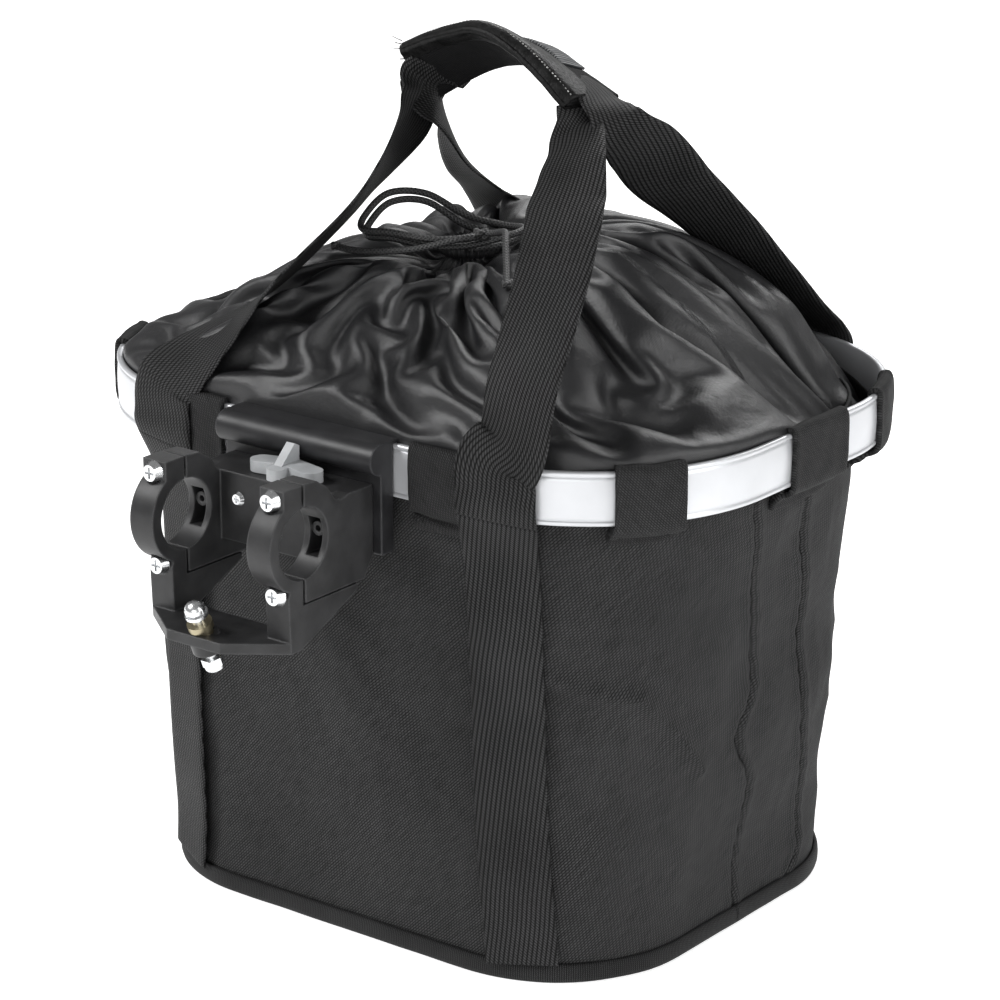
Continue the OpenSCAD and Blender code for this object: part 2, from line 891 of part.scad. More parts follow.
module support_cap_nut() {
    color(zinc_colour)
        at_bar()
            bolt_frame()
                difference() {
                    union() {
                        translate([0, 0, -14.5])
                            cylinder(r = 5, h = 4, $fn = 6);
                        translate([0, 0, -13.5])
                            intersection() {
                                sphere(5.2, $fn = 48);
                                translate([0, 0, -6])
                                    cylinder(r = 4.4, h = 6, $fn = 48);
                            }
                    }
                    translate([0, 0, -16])
                        cylinder(r = bolt_r + 0.02, h = 20, $fn = 48);
                }
}

// ---- quick release ------------------------------------------------------------------

module at_knob() {
    translate([knob_x, -knob_reach, 0])
        children();
}

// Three-lobed thumb knob with a fin, a stem, a spring collar and a wedge that draws the latch
module release_knob() {
    lobe_foot = bar_height + ledge + 0.4;
    lobe_high = 5;
    color("darkgray")
        at_knob() {
            for (lobe = [[-13.5, -1.5, 5.5], [13.5, -1.5, 5.5], [0, -8, 4.5]])
                hull() {
                    translate([lobe[0], lobe[1], lobe_foot])
                        cylinder(r = lobe[2], h = lobe_high, $fn = loft_fn);
                    translate([0, 0, lobe_foot])
                        cylinder(r = 5, h = lobe_high + 1, $fn = loft_fn);
                }
            translate([0, 0, lobe_foot + lobe_high])
                prism_x([[-8, 0], [4.5, 0], [4.5, 7.5], [1.5, 9]], 4.5);
            translate([0, 0, chamber_foot + 0.5])
                cylinder(r = stem_r, h = lobe_foot - chamber_foot + 1, $fn = round_fn);
            translate([0, 0, chamber_foot + 0.5])
                cylinder(r = chamber_r - 0.8, h = 2, $fn = round_fn);
            prism_x([[-2, chamber_foot + 1], [2, chamber_foot + 1], [2, chamber_foot - 0.5],
                [-6, chamber_foot - 8.5], [-9, chamber_foot - 8.5], [-2, chamber_foot - 1.5]],
                2 * stem_r - 0.4);
        }
}

// Latch bolt with the slanted slot that the knob's wedge runs in
module release_latch() {
    slack = 0.4;
    color("gray")
        difference() {
            translate([knob_x - latch_half, -knob_reach - 9.5, latch_foot])
                cube([2 * latch_half, knob_reach + 9.5 - plate_front - 0.6, latch_top - latch_foot]);
            at_knob()
                prism_x([[2.7 + slack, chamber_foot], [-6.3 + slack, chamber_foot - 9],
                    [-9.9 - slack, chamber_foot - 9], [-0.9 - slack, chamber_foot]],
                    2 * stem_r + 0.4);
        }
}

// Compression spring between the knob's collar and the chamber's roof
module release_spring() {
    turns = 5;
    steps = 12;
    wire_r = 0.5;
    low = chamber_foot + 3.2;
    high = chamber_roof - 0.8;
    color(zinc_colour)
        at_knob()
            tube([for (i = [0 : turns * steps])
                [4.6 * cos(360 * i / steps), 4.6 * sin(360 * i / steps),
                    mix(low, high, i / (turns * steps))]], wire_r, 6);
}

rim_band();
rim_splice();
splice_rivets();
rim_loops();
hook_plate();
backing_plate();
adapter_screws();
mount_side_panel();
far_side_panel();
right_end_gusset();
left_end_gusset();
mount_strap_runs();
far_strap_runs();
base_panel();
base_board();
base_binding();
carry_strap_mount_right();
carry_strap_mount_left();
carry_strap_far_right();
carry_strap_far_left();
handle_grip();
grip_patch();
hood();
hood_hem();
drawcord();
cord_tail();
cord_knot();
cord_ends();
bracket_body();
clamp_yoke();
clamp_screws();
clamp_nuts();
body_screw();
support_bolt();
support_insert();
support_cap_nut();
release_knob();
release_latch();
release_spring();
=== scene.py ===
"""Looks of a handlebar basket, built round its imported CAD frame.

Shapes are worked out in millimetres in the frame's own axes, and become metres when a mesh is made.
"""
import math
import random
from functools import partialmethod

import bpy
import numpy as np
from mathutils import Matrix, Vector, noise


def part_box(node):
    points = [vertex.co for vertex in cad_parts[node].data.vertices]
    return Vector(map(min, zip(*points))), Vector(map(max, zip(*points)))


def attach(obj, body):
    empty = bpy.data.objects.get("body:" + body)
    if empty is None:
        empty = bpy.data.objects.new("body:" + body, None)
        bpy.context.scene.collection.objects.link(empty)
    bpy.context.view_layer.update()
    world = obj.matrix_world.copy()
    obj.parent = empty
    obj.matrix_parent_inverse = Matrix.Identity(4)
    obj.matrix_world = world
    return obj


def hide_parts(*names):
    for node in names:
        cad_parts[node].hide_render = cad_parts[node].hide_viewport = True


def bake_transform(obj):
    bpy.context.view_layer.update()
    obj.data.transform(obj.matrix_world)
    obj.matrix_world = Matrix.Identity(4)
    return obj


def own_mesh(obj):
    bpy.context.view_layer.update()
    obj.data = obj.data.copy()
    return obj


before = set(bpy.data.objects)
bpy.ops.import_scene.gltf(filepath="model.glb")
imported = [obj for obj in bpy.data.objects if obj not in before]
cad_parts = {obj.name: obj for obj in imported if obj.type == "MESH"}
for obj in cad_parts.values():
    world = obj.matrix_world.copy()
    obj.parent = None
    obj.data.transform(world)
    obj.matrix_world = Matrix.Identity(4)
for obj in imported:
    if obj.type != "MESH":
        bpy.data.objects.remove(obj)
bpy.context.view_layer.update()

MM = 0.001


def box_mm(node):
    """Lowest and highest corners of a CAD node, in millimetres."""
    low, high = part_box(node)
    return np.array(low) / MM, np.array(high) / MM


# ---- sizes, from the frame where it has them ----

rim_low, rim_high = box_mm("rim_band")
rim_length = round(2 * rim_high[0] - 0.2)
rim_width = round(2 * rim_high[1] - 0.2)
rim_foot, rim_top = rim_low[2], rim_high[2]
rim_corner = 94
rim_wall = 3.2
panel_low, panel_high = box_mm("far_side_panel")
panel_foot, panel_top = panel_low[2], panel_high[2]
# Length, width and corner radius of the bag
bag_top = 320, 2 * panel_high[1], 104
bag_base = 273, 227, 68
bag_shoulder = rim_foot - 6
fabric_wall = 1.6
strap_width = 37
strap_thick = 1.8
# Middle and height of the hood's drawn mouth
gather = np.array([-7.0, -12.0])
gather_z = 297


# ---- camera, light and floor ----

def make_camera():
    """A long lens that looks down a little, from in front and to the right of the bracket."""
    target = Vector((0.0018, -0.0011, 0.1773))
    azimuth, elevation, distance = math.radians(37.606), math.radians(18.432), 1.7305
    back = Vector((math.sin(azimuth) * math.cos(elevation),
                   -math.cos(azimuth) * math.cos(elevation), math.sin(elevation)))
    data = bpy.data.cameras.new("camera")
    data.lens = 133.85
    data.sensor_width = 36
    camera = bpy.data.objects.new("camera", data)
    camera.location = target + back * distance
    camera.rotation_euler = (math.pi / 2 - elevation, 0, azimuth)
    bpy.context.scene.collection.objects.link(camera)
    bpy.context.scene.camera = camera


def area_light(name, place, size, power, aim=(0, 0, 0.2)):
    data = bpy.data.lights.new(name, "AREA")
    data.shape = "RECTANGLE"
    data.size, data.size_y = size
    data.energy = power
    light = bpy.data.objects.new(name, data)
    light.location = place
    light.rotation_euler = (Vector(aim) - Vector(place)).to_track_quat("-Z", "Y").to_euler()
    bpy.context.scene.collection.objects.link(light)


def make_studio():
    world = bpy.data.worlds.new("studio")
    world.use_nodes = True
    sky = world.node_tree.nodes["Background"]
    sky.inputs["Color"].default_value = (1, 1, 1, 1)
    seen = add_node(world.node_tree, "LightPath").outputs["Is Camera Ray"]
    strength = Field(world.node_tree, seen) * 0.75 + 0.25
    world.node_tree.links.new(strength.socket, sky.inputs["Strength"])
    bpy.context.scene.world = world
    bpy.context.scene.view_settings.view_transform = "Standard"
    area_light("key_light", (-1.1, -1.3, 1.7), (0.8, 0.8), 40)
    area_light("side_light", (1.9, 0.1, 1.1), (0.7, 1.4), 22)
    area_light("back_light", (-0.5, 1.7, 1.5), (1.6, 0.7), 26)
    area_light("front_light", (1.1, -2.2, 0.7), (1.6, 0.9), 13)
    half = 6 / MM
    floor = new_mesh("floor", [(-half, -half, 0), (half, -half, 0), (half, half, 0), (-half, half, 0)],
                     [(0, 1, 2, 3)])
    pale = Paint("pale_floor", grey(0.9), 0.6, Emission_Color=(1, 1, 1, 1), Emission_Strength=0.62)
    floor.data.materials.append(pale.made)


# ---- mesh helpers ----

def new_mesh(name, points, faces, uvs=None):
    """An object from points in millimetres; uvs holds one pair in millimetres for each point."""
    mesh = bpy.data.meshes.new(name)
    mesh.from_pydata((np.asarray(points, float).reshape(-1, 3) * MM).tolist(), [], faces)
    mesh.update()
    if uvs is not None:
        layer = mesh.uv_layers.new(name="cloth")
        corner_points = np.zeros(len(mesh.loops), np.int32)
        mesh.loops.foreach_get("vertex_index", corner_points)
        pairs = np.asarray(uvs, np.float32).reshape(-1, 2)
        layer.data.foreach_set("uv", pairs[corner_points].ravel())
    mesh.polygons.foreach_set("use_smooth", [True] * len(mesh.polygons))
    thing = bpy.data.objects.new(name, mesh)
    bpy.context.scene.collection.objects.link(thing)
    return thing


def grid_faces(rows, columns, wrap_rows=False, wrap_columns=False, flip=False):
    """Quads of a grid whose points are stored row by row."""
    faces = []
    for i in range(rows if wrap_rows else rows - 1):
        for j in range(columns if wrap_columns else columns - 1):
            a, b = i * columns + j, i * columns + (j + 1) % columns
            c, d = ((i + 1) % rows) * columns + (j + 1) % columns, ((i + 1) % rows) * columns + j
            faces.append((a, d, c, b) if flip else (a, b, c, d))
    return faces


def tube_faces(rings, sides, flip=True):
    """Quads between a tube's rings, and a cap at each end."""
    first, last = range(sides), range((rings - 1) * sides, rings * sides)
    caps = [tuple(first), tuple(reversed(last))] if flip else [tuple(reversed(first)), tuple(last)]
    return grid_faces(rings, sides, wrap_columns=True, flip=flip) + caps


def angles(count):
    """Evenly spaced angles once round, in radians."""
    return np.linspace(0, 2 * math.pi, count, endpoint=False)


def ways(line):
    """How far along a line each of its points is."""
    return np.concatenate([[0], np.cumsum(np.linalg.norm(np.diff(line, axis=0), axis=1))])


def cloth_map(across, along):
    """Pairs of distances on a grid, from two arrays that broadcast to it."""
    return np.stack(np.broadcast_arrays(across, along), -1)


def finish_piece(thing, paint, body=None, node=None):
    """Gives a piece its material, the body it rides on and the CAD node it stands for."""
    thing.data.materials.append(paint)
    if node:
        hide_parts(node)
    if body:
        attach(thing, body)
    return thing


def skin(name, outer, inner, uvs, wrap_columns=False):
    """A closed shell between two grids of the same shape [rows, columns, 3]."""
    rows, columns = outer.shape[:2]
    count = rows * columns
    faces = grid_faces(rows, columns, wrap_columns=wrap_columns)
    faces += [tuple(count + k for k in reversed(face)) for face in faces]
    number = np.arange(count).reshape(rows, columns)
    if wrap_columns:
        number = np.column_stack([number, number[:, 0]])
    borders = [number[0, ::-1], number[-1]]
    if not wrap_columns:
        borders += [number[:, 0], number[::-1, -1]]
    for border in borders:
        border = border.tolist()
        faces += [(a, b, count + b, count + a) for a, b in zip(border, border[1:])]
    return new_mesh(name, np.concatenate([outer, inner]), faces, np.concatenate([uvs, uvs]))


def unit(vectors):
    return vectors / np.maximum(np.linalg.norm(vectors, axis=-1, keepdims=True), 1e-9)


def grid_normals(grid, wrap_columns=False):
    """Normals of a grid [rows, columns, 3], from its neighbours' differences."""
    down = np.gradient(grid, axis=0)
    if wrap_columns:
        across = (np.roll(grid, -1, axis=1) - np.roll(grid, 1, axis=1)) / 2
    else:
        across = np.gradient(grid, axis=1)
    return unit(np.cross(across, down))


def spline(points, count):
    """A smooth line through points [n, k], at count places evenly spaced along it."""
    points = np.asarray(points, float)
    padded = np.vstack([2 * points[0] - points[1], points, 2 * points[-1] - points[-2]])
    fine = []
    for i in range(len(points) - 1):
        a, b, c, d = padded[i:i + 4]
        for t in np.linspace(0, 1, 24, endpoint=False):
            fine.append(0.5 * (2 * b + (c - a) * t + (2 * a - 5 * b + 4 * c - d) * t ** 2
                               + (3 * b - a - 3 * c + d) * t ** 3))
    fine = np.array(fine + [points[-1]])
    way = ways(fine[:, :3])
    wanted = np.linspace(0, way[-1], count)
    return np.stack([np.interp(wanted, way, fine[:, k]) for k in range(fine.shape[1])], axis=1)


def smoothstep(value, low, high):
    t = np.clip((value - low) / (high - low), 0, 1)
    return t * t * (3 - 2 * t)


def wander(points, scale, seed):
    """Smooth noise from -1 to 1 at each point of [..., 3], with bumps about scale millimetres across."""
    flat = np.asarray(points, float).reshape(-1, 3) / scale + seed
    return np.array([noise.noise(Vector(p)) for p in flat]).reshape(np.shape(points)[:-1])


# ---- outlines ----

def outline(length, width, corner, share):
    """Points and outward normals of a rounded rectangle, at shares of its way round from +X."""
    turn = (np.asarray(share, float) % 1.0) * 4
    quarter = np.minimum(np.floor(turn), 3)
    part = turn - quarter
    part = np.where(quarter % 2 == 1, 1 - part, part)
    sign_x = np.where((quarter == 1) | (quarter == 2), -1, 1)
    sign_y = np.where(quarter >= 2, -1, 1)
    rise, bend, run = width / 2 - corner, math.pi / 2 * corner, length / 2 - corner
    way = part * (rise + bend + run)
    angle = np.clip((way - rise) / corner, 0, math.pi / 2)
    x = run + corner * np.cos(angle) - np.maximum(way - rise - bend, 0)
    y = np.minimum(way, rise) + corner * np.sin(angle)
    return (np.stack([x * sign_x, y * sign_y], -1),
            np.stack([np.cos(angle) * sign_x, np.sin(angle) * sign_y], -1))


def rim_line(share, out=0.0):
    return outline(rim_length + 2 * out, rim_width + 2 * out, rim_corner + out, share)


def bag_size(z):
    """Length, width and corner radius of the bag at height z."""
    t = np.minimum((np.asarray(z, float) - panel_foot) / (bag_shoulder - panel_foot), 1)
    return [low + (high - low) * t for low, high in zip(bag_base, bag_top)]


def bag_line(share, z):
    """Points and normals of the bag's outside at height z."""
    return outline(*bag_size(z), share)


def girth(length, width, corner):
    """Length of the way round a rounded rectangle."""
    return 2 * (length + width) - (8 - 2 * math.pi) * corner


def share_where(line, axis, value, low, high):
    """Share from low to high at which a line's x (axis 0) or y (axis 1) has that value."""
    shares = np.linspace(low, high, 400)
    found = line(shares)[0][:, axis]
    order = np.argsort(found)
    return float(np.interp(value, found[order], shares[order]))


# ---- materials ----

def grey(level, blue=None):
    return level, level, level if blue is None else blue


def add_node(tree, kind, inputs=None, **settings):
    made = tree.nodes.new("ShaderNode" + kind)
    for key, value in settings.items():
        setattr(made, key, value)
    for key, value in (inputs or {}).items():
        if isinstance(value, bpy.types.NodeSocket):
            tree.links.new(value, made.inputs[key])
        else:
            made.inputs[key].default_value = value
    return made


class Field:
    """A number that varies over a surface. Each step of arithmetic on it is one Math node."""

    def __init__(self, tree, socket):
        self.tree = tree
        self.socket = socket

    def step(self, operation, other=0.0):
        inputs = {0: self.socket, 1: getattr(other, "socket", other)}
        return Field(self.tree, add_node(self.tree, "Math", inputs, operation=operation).outputs[0])

    __add__ = partialmethod(step, "ADD")
    __sub__ = partialmethod(step, "SUBTRACT")
    __mul__ = partialmethod(step, "MULTIPLY")
    __truediv__ = partialmethod(step, "DIVIDE")
    __pow__ = partialmethod(step, "POWER")
    __abs__ = partialmethod(step, "ABSOLUTE")
    wave = partialmethod(step, "SINE")


class Paint:
    """A principled material and the steps that add detail to it."""

    def __init__(self, name, colour, roughness, metallic=0.0, **sockets):
        self.made = bpy.data.materials.new(name)
        self.made.use_nodes = True
        self.tree = self.made.node_tree
        self.shader = self.tree.nodes["Principled BSDF"]
        sockets |= {"Base_Color": (*colour, 1), "Roughness": roughness, "Metallic": metallic}
        for socket, value in sockets.items():
            self.shader.inputs[socket.replace("_", " ")].default_value = value

    def cloth_place(self):
        """The distance across and along the cloth, in millimetres."""
        place = add_node(self.tree, "UVMap", uv_map="cloth").outputs[0]
        split = add_node(self.tree, "SeparateXYZ", {0: place})
        return Field(self.tree, split.outputs[0]), Field(self.tree, split.outputs[1])

    def noise(self, scale, detail=3.0, roughness=0.55, stretch=(1, 1, 1)):
        """Noise fixed to the object's own metres; scale is bumps a metre."""
        place = add_node(self.tree, "TexCoord").outputs["Object"]
        spread = add_node(self.tree, "Mapping", {"Vector": place, "Scale": stretch}).outputs[0]
        settings = {"Vector": spread, "Scale": scale, "Detail": detail, "Roughness": roughness}
        return Field(self.tree, add_node(self.tree, "TexNoise", settings).outputs["Fac"])

    def tint(self, factor, low, high, spread=(0.3, 0.7)):
        """Colour that runs from low to high as factor runs over spread."""
        ramp = add_node(self.tree, "ValToRGB", {0: factor.socket})
        for stop, place, colour in zip(ramp.color_ramp.elements, spread, (low, high)):
            stop.position = place
            stop.color = (*colour, 1)
        self.tree.links.new(ramp.outputs[0], self.shader.inputs["Base Color"])

    def bump(self, height, depth, strength=1.0, under=None):
        """Relief whose height runs from 0 to 1 over depth millimetres."""
        inputs = {"Height": height.socket, "Distance": depth * MM, "Strength": strength}
        if under is not None:
            inputs["Normal"] = under
        made = add_node(self.tree, "Bump", inputs).outputs[0]
        self.tree.links.new(made, self.shader.inputs["Normal"])
        return made

    def roughen(self, factor, low, high):
        """Roughness that runs from low to high with a factor."""
        ranged = add_node(self.tree, "MapRange", {"Value": factor.socket, "To Min": low, "To Max": high})
        self.tree.links.new(ranged.outputs[0], self.shader.inputs["Roughness"])


def twill(name, low, high, pitch, shine=0.12, roughness=0.72):
    """Coarse coated twill: slanted ridges, each broken into short floats."""
    paint = Paint(name, high, roughness, Specular_IOR_Level=shine)
    across, along = paint.cloth_place()
    slant = (across - along) / (pitch * math.sqrt(2))
    other = (across + along) / (pitch * 2.6)
    floats = (other * (2 * math.pi) + slant.step("FLOOR") * 2.4).wave() * 0.24 + 0.76
    height = abs((slant * math.pi).wave()) ** 0.7 * floats
    grid = add_node(paint.tree, "CombineXYZ", {0: (slant * 1.3).socket, 1: (other * 0.22).socket}).outputs[0]
    streaks = add_node(paint.tree, "TexNoise", {"Vector": grid, "Scale": 1.0, "Detail": 2.0}).outputs["Fac"]
    worn = paint.noise(14, 4) * 0.7 + 0.65
    # Colour follows the weave's height: the twill's pattern, with painted shade in the grooves and painted
    # highlight on the ridge tops; streaks and worn add random tone.
    paint.tint(height * (Field(paint.tree, streaks) + 0.35) * worn, low, high, (0.1, 1.0))
    paint.bump(height, 0.25)
    return paint.made


def webbing(name, low, high, rib=2.1, bead=1.3, lean=0.16):
    """Webbing with ribs that lean a little across its length, each twisted like a rope."""
    paint = Paint(name, high, 0.6, Specular_IOR_Level=0.14)
    across, along = paint.cloth_place()
    column = (across - along * lean) / rib
    turns = (along / bead + column * 1.3) * (2 * math.pi)
    height = abs((column * math.pi).wave()) ** 0.8 * (turns.wave() * 0.32 + 0.68)
    # Colour follows the rib height: the weave's pattern, with painted shade in the grooves and painted
    # highlight on the bead tops.
    paint.tint(height * (paint.noise(30) * 0.8 + 0.6), low, high, (0.2, 0.95))
    paint.bump(height, 0.35)
    return paint.made


def nylon(name):
    """Thin shiny lining nylon with fine crush marks."""
    paint = Paint(name, grey(0.01, 0.011), 0.36, Specular_IOR_Level=0.55)
    soft = paint.bump(abs(paint.noise(55, 4, 0.6, (1, 1, 1.4)) * 2.0 - 1.0), 0.6, 0.6)
    across, along = paint.cloth_place()
    paint.bump((across * 9).wave() * (along * 9).wave(), 0.03, 1.0, soft)
    paint.roughen(paint.noise(40), 0.32, 0.46)
    paint.tint(paint.noise(9), grey(0.007, 0.008), grey(0.016, 0.017))
    return paint.made


def braid(name):
    """Braided round cord, with its beads set by the place along the cord."""
    paint = Paint(name, grey(0.012), 0.5, Specular_IOR_Level=0.45)
    across, along = paint.cloth_place()
    left, right = ((along + across) * 3.2).wave(), ((along - across) * 3.2).wave()
    height = left.step("MAXIMUM", right) * 0.5 + 0.5
    # Colour follows the bead height: the braid's pattern, with painted shade between the beads and painted
    # highlight on their tops.
    paint.tint(height, grey(0.004), grey(0.045, 0.046), (0.45, 1.0))
    paint.bump(height, 0.3)
    return paint.made


def worn_and_lit_edges(tree, radius):
    """From 0 on flats to 1 on edges, by how far a rounded normal leans from the true one."""
    rounded = add_node(tree, "Bevel", {"Radius": radius * MM}, samples=4).outputs[0]
    true = add_node(tree, "NewGeometry").outputs["Normal"]
    lean = add_node(tree, "VectorMath", {0: rounded, 1: true}, operation="DOT_PRODUCT").outputs["Value"]
    return Field(tree, lean) * -5.0 + 5.0, rounded


def moulded(name, colour, roughness=0.5, grain=0.05, edge=1.2, wear_and_highlight=2.6):
    """Moulded plastic with a fine grain, handling marks and paler rounded edges, partly worn and partly a
    painted highlight.
    """
    paint = Paint(name, colour, roughness, Specular_IOR_Level=0.36)
    # worn is 0 on flats and 1 on edges: the mask for edge wear and painted highlight.
    worn, rounded = worn_and_lit_edges(paint.tree, edge)
    fine = paint.bump(paint.noise(2600, 2), grain, 0.8, rounded)
    paint.bump(paint.noise(60, 4), 0.15, 0.5, fine)
    paint.roughen(paint.noise(45, 5), roughness - 0.1, roughness + 0.12)
    # Paler edge colour: partly wear, partly a painted highlight where rounded edges catch the light.
    light = tuple(min(1.0, c * wear_and_highlight + 0.01) for c in colour)
    rubbed_and_lit = worn.step("MINIMUM", 1.0) * paint.noise(160, 4)
    paint.tint(paint.noise(70, 6) * 0.55 + rubbed_and_lit, colour, light, (0.2, 0.9))
    return paint.made


def satin_metal(name, colour, roughness, stretch, scale=160, metallic=1.0):
    """Metal with fine drawn lines and slight stains."""
    paint = Paint(name, colour, roughness, metallic)
    lines = paint.noise(scale, 3, 0.6, stretch)
    paint.bump(lines, 0.03, 0.6)
    paint.roughen(lines, roughness - 0.07, roughness + 0.1)
    paint.tint(paint.noise(18, 5), tuple(c * 0.86 for c in colour), colour, (0.3, 0.65))
    return paint.made


def make_materials():
    knob = Paint("knob_plastic", (0.42, 0.43, 0.44), 0.38, Specular_IOR_Level=0.5,
                 Subsurface_Weight=0.35, Subsurface_Radius=grey(0.004))
    knob.tint(knob.noise(60, 4), (0.3, 0.31, 0.32), (0.46, 0.47, 0.48))
    knob.bump(knob.noise(900, 2), 0.03, 0.6)
    thread = Paint("sewing_thread", grey(0.03), 0.5, Specular_IOR_Level=0.5)
    thread.tint(thread.noise(800), grey(0.015), grey(0.06))
    edging = Paint("grip_edging", grey(0.006), 0.42, Specular_IOR_Level=0.12)
    edging.bump(edging.noise(520, 3), 0.4)
    edging.roughen(edging.noise(300, 3), 0.3, 0.6)
    edging.tint(edging.noise(300), grey(0.003), grey(0.014))
    # Painted highlight: pale thread colour for the stitches, standing for glints along the edging's hem.
    glint = Paint("edge_glint", grey(0.35, 0.34), 0.35, Specular_IOR_Level=0.7)
    glint.tint(glint.noise(260), grey(0.03), grey(0.5, 0.48), (0.42, 0.62))
    return {
        "body": twill("body_twill", grey(0.002), grey(0.06, 0.061), 1.1),
        "loop": twill("loop_twill", grey(0.003), grey(0.05, 0.051), 0.9),
        "lining": twill("grip_lining", grey(0.004), grey(0.02, 0.021), 0.8, 0.08),
        "grip": twill("grip_cloth", grey(0.003), grey(0.024, 0.025), 0.7),
        "webbing": webbing("strap_webbing", grey(0.001), grey(0.05, 0.051)),
        "tape": webbing("binding_tape", grey(0.002), grey(0.05, 0.051), 1.0, 1.0, 0.0),
        "patch": webbing("patch_ribs", (0.03, 0.032, 0.034), (0.3, 0.305, 0.31), 1.5, 40.0, 0.0),
        "hood": nylon("hood_nylon"),
        "cord": braid("cord_braid"),
        "plastic": moulded("bracket_plastic", grey(0.014, 0.0145), 0.44, 0.06, 1.4, 4.5),
        "plate": moulded("plate_plastic", grey(0.01, 0.011), 0.42, 0.04, 1.4, 4.0),
        "board": moulded("board_plastic", grey(0.03), 0.6),
        "latch": moulded("latch_plastic", grey(0.2, 0.21), 0.45),
        "rim": satin_metal("rim_aluminium", (0.64, 0.65, 0.67), 0.36, (1, 1, 30), metallic=0.45),
        "zinc": satin_metal("zinc_plate", (0.78, 0.79, 0.8), 0.24, (1, 1, 1), 500),
        "brass": satin_metal("turned_brass", (0.42, 0.37, 0.25), 0.36, (1, 1, 12)),
        "knob": knob.made,
        "thread": thread.made,
        "edging": edging.made,
        "glint": glint.made,
    }


# ---- cords ----

cord_radius = 1.6
cord_place = (-16, -19)
cord_turn = math.radians(33)
cord_route = [[12, -12.6, 302.8], [24, -13, 303.6], [33, -6, 305.2], [33, 4, 304.6],
              [24, 12, 303.4], [8, 16, 303], [-10, 16, 308.8], [-26, 11, 310.6], [-35, 2, 306.8],
              [-34, -7, 306.2], [-22, -14, 309.8], [-6, -17, 307.4], [10, -17.5, 305.6], [24, -15, 307.4],
              [34, -7, 308.9], [35, 4, 308.4], [25, 13, 307.2], [8, 17, 307.5], [-10, 17, 312.2],
              [-27, 12, 314.2], [-37, 2, 310.6], [-36, -8, 309.8], [-23, -15, 313], [-6, -19, 311.2],
              [8, -19.5, 309.8], [18, -18.5, 310.6], [26, -23, 312.6], [30, -32, 315], [31, -42, 313.4],
              [32, -52, 309.2], [33, -62, 305], [33.5, -70, 301.6]]
tail_route = [[15.5, -22.2, 310.5], [8, -25, 311], [-2, -26, 309.8], [-14, -25, 307.8],
              [-28, -21.5, 306], [-40, -15, 304.4], [-49, -8, 302]]
knot_place = [[18, -18.5, 310.6]]


def cord_world(route):
    """A cord's route in the frame's axes, from the bundle's own."""
    points = np.asarray(route, float)
    cos, sin = math.cos(cord_turn), math.sin(cord_turn)
    x = cord_place[0] + points[:, 0] * cos - points[:, 1] * sin
    y = cord_place[1] + points[:, 0] * sin + points[:, 1] * cos
    stand = 8 * smoothstep(points[:, 1], -5, 17) - 3.5 * smoothstep(-points[:, 1], 4, 17)
    return np.stack([x, y, points[:, 2] + stand * smoothstep(-points[:, 0], -22, 12)], 1)


def tube(name, line, radii, sides=16):
    """A round tube along a line, whose radius may change; its cloth map runs round and along."""
    line = np.asarray(line, float)
    count = len(line)
    radii = np.broadcast_to(radii, count)
    along = unit(np.gradient(line, axis=0))
    side = unit(np.cross(along, [0, 0, 1.0]))
    for i in range(1, count):
        side[i] = unit(side[i - 1] - along[i] * (side[i - 1] @ along[i]))
    over = np.cross(side, along)
    turn = angles(sides)
    rings = (line[:, None] + radii[:, None, None]
             * (np.cos(turn)[None, :, None] * side[:, None] + np.sin(turn)[None, :, None] * over[:, None]))
    uvs = cloth_map(turn[None] * radii[:, None], ways(line)[:, None])
    return new_mesh(name, rings, tube_faces(count, sides), uvs)


def make_cords(paints):
    """The drawcord in its loops, its shorter tail, the knot between them and the knots at their ends."""
    long_line = spline(cord_world(cord_route), 420)
    tail_line = spline(cord_world(tail_route), 80)
    drawcord = tube("drawcord_braid", long_line, cord_radius)
    tail = tube("cord_tail_braid", tail_line, cord_radius)
    knot = overhand("cord_knot_wraps", cord_world(knot_place)[0], 3.1, 1.55)
    long_end = overhand("cord_end_long", long_line[-1], 1.7, 1.15)
    short_end = overhand("cord_end_short", tail_line[-1], 1.7, 1.15)
    for piece, node in ((drawcord, "drawcord"), (tail, "cord_tail"), (knot, "cord_knot"),
                        (long_end, "cord_ends"), (short_end, None)):
        finish_piece(piece, paints["cord"], "basket_frame", node)


def overhand(name, middle, radius, thick):
    """A small pulled-tight knot: a cord wound as a trefoil."""
    turn = np.linspace(0, 2 * math.pi, 140)
    line = np.stack([np.sin(turn) + 1.6 * np.sin(2 * turn), 0.8 * (np.cos(turn) - 1.6 * np.cos(2 * turn)),
                     -0.9 * np.sin(3 * turn)], 1) * radius * 0.42
    return tube(name, line[:-1] + middle, thick, 12)


# ---- hoop and its loops ----

def sweep_round(name, line_of, profile, steps=360):
    """A closed ring whose profile is a list of (outward, height), swept round an outline."""
    shares = np.linspace(0, 1, steps, endpoint=False)
    grid = np.array([np.column_stack([line_of(shares, out), np.full(steps, z)]) for out, z in profile])
    faces = grid_faces(len(profile), steps, wrap_rows=True, wrap_columns=True)
    return new_mesh(name, grid, faces, cloth_map(ways(grid[0])[None], ways(np.array(profile))[:, None]))


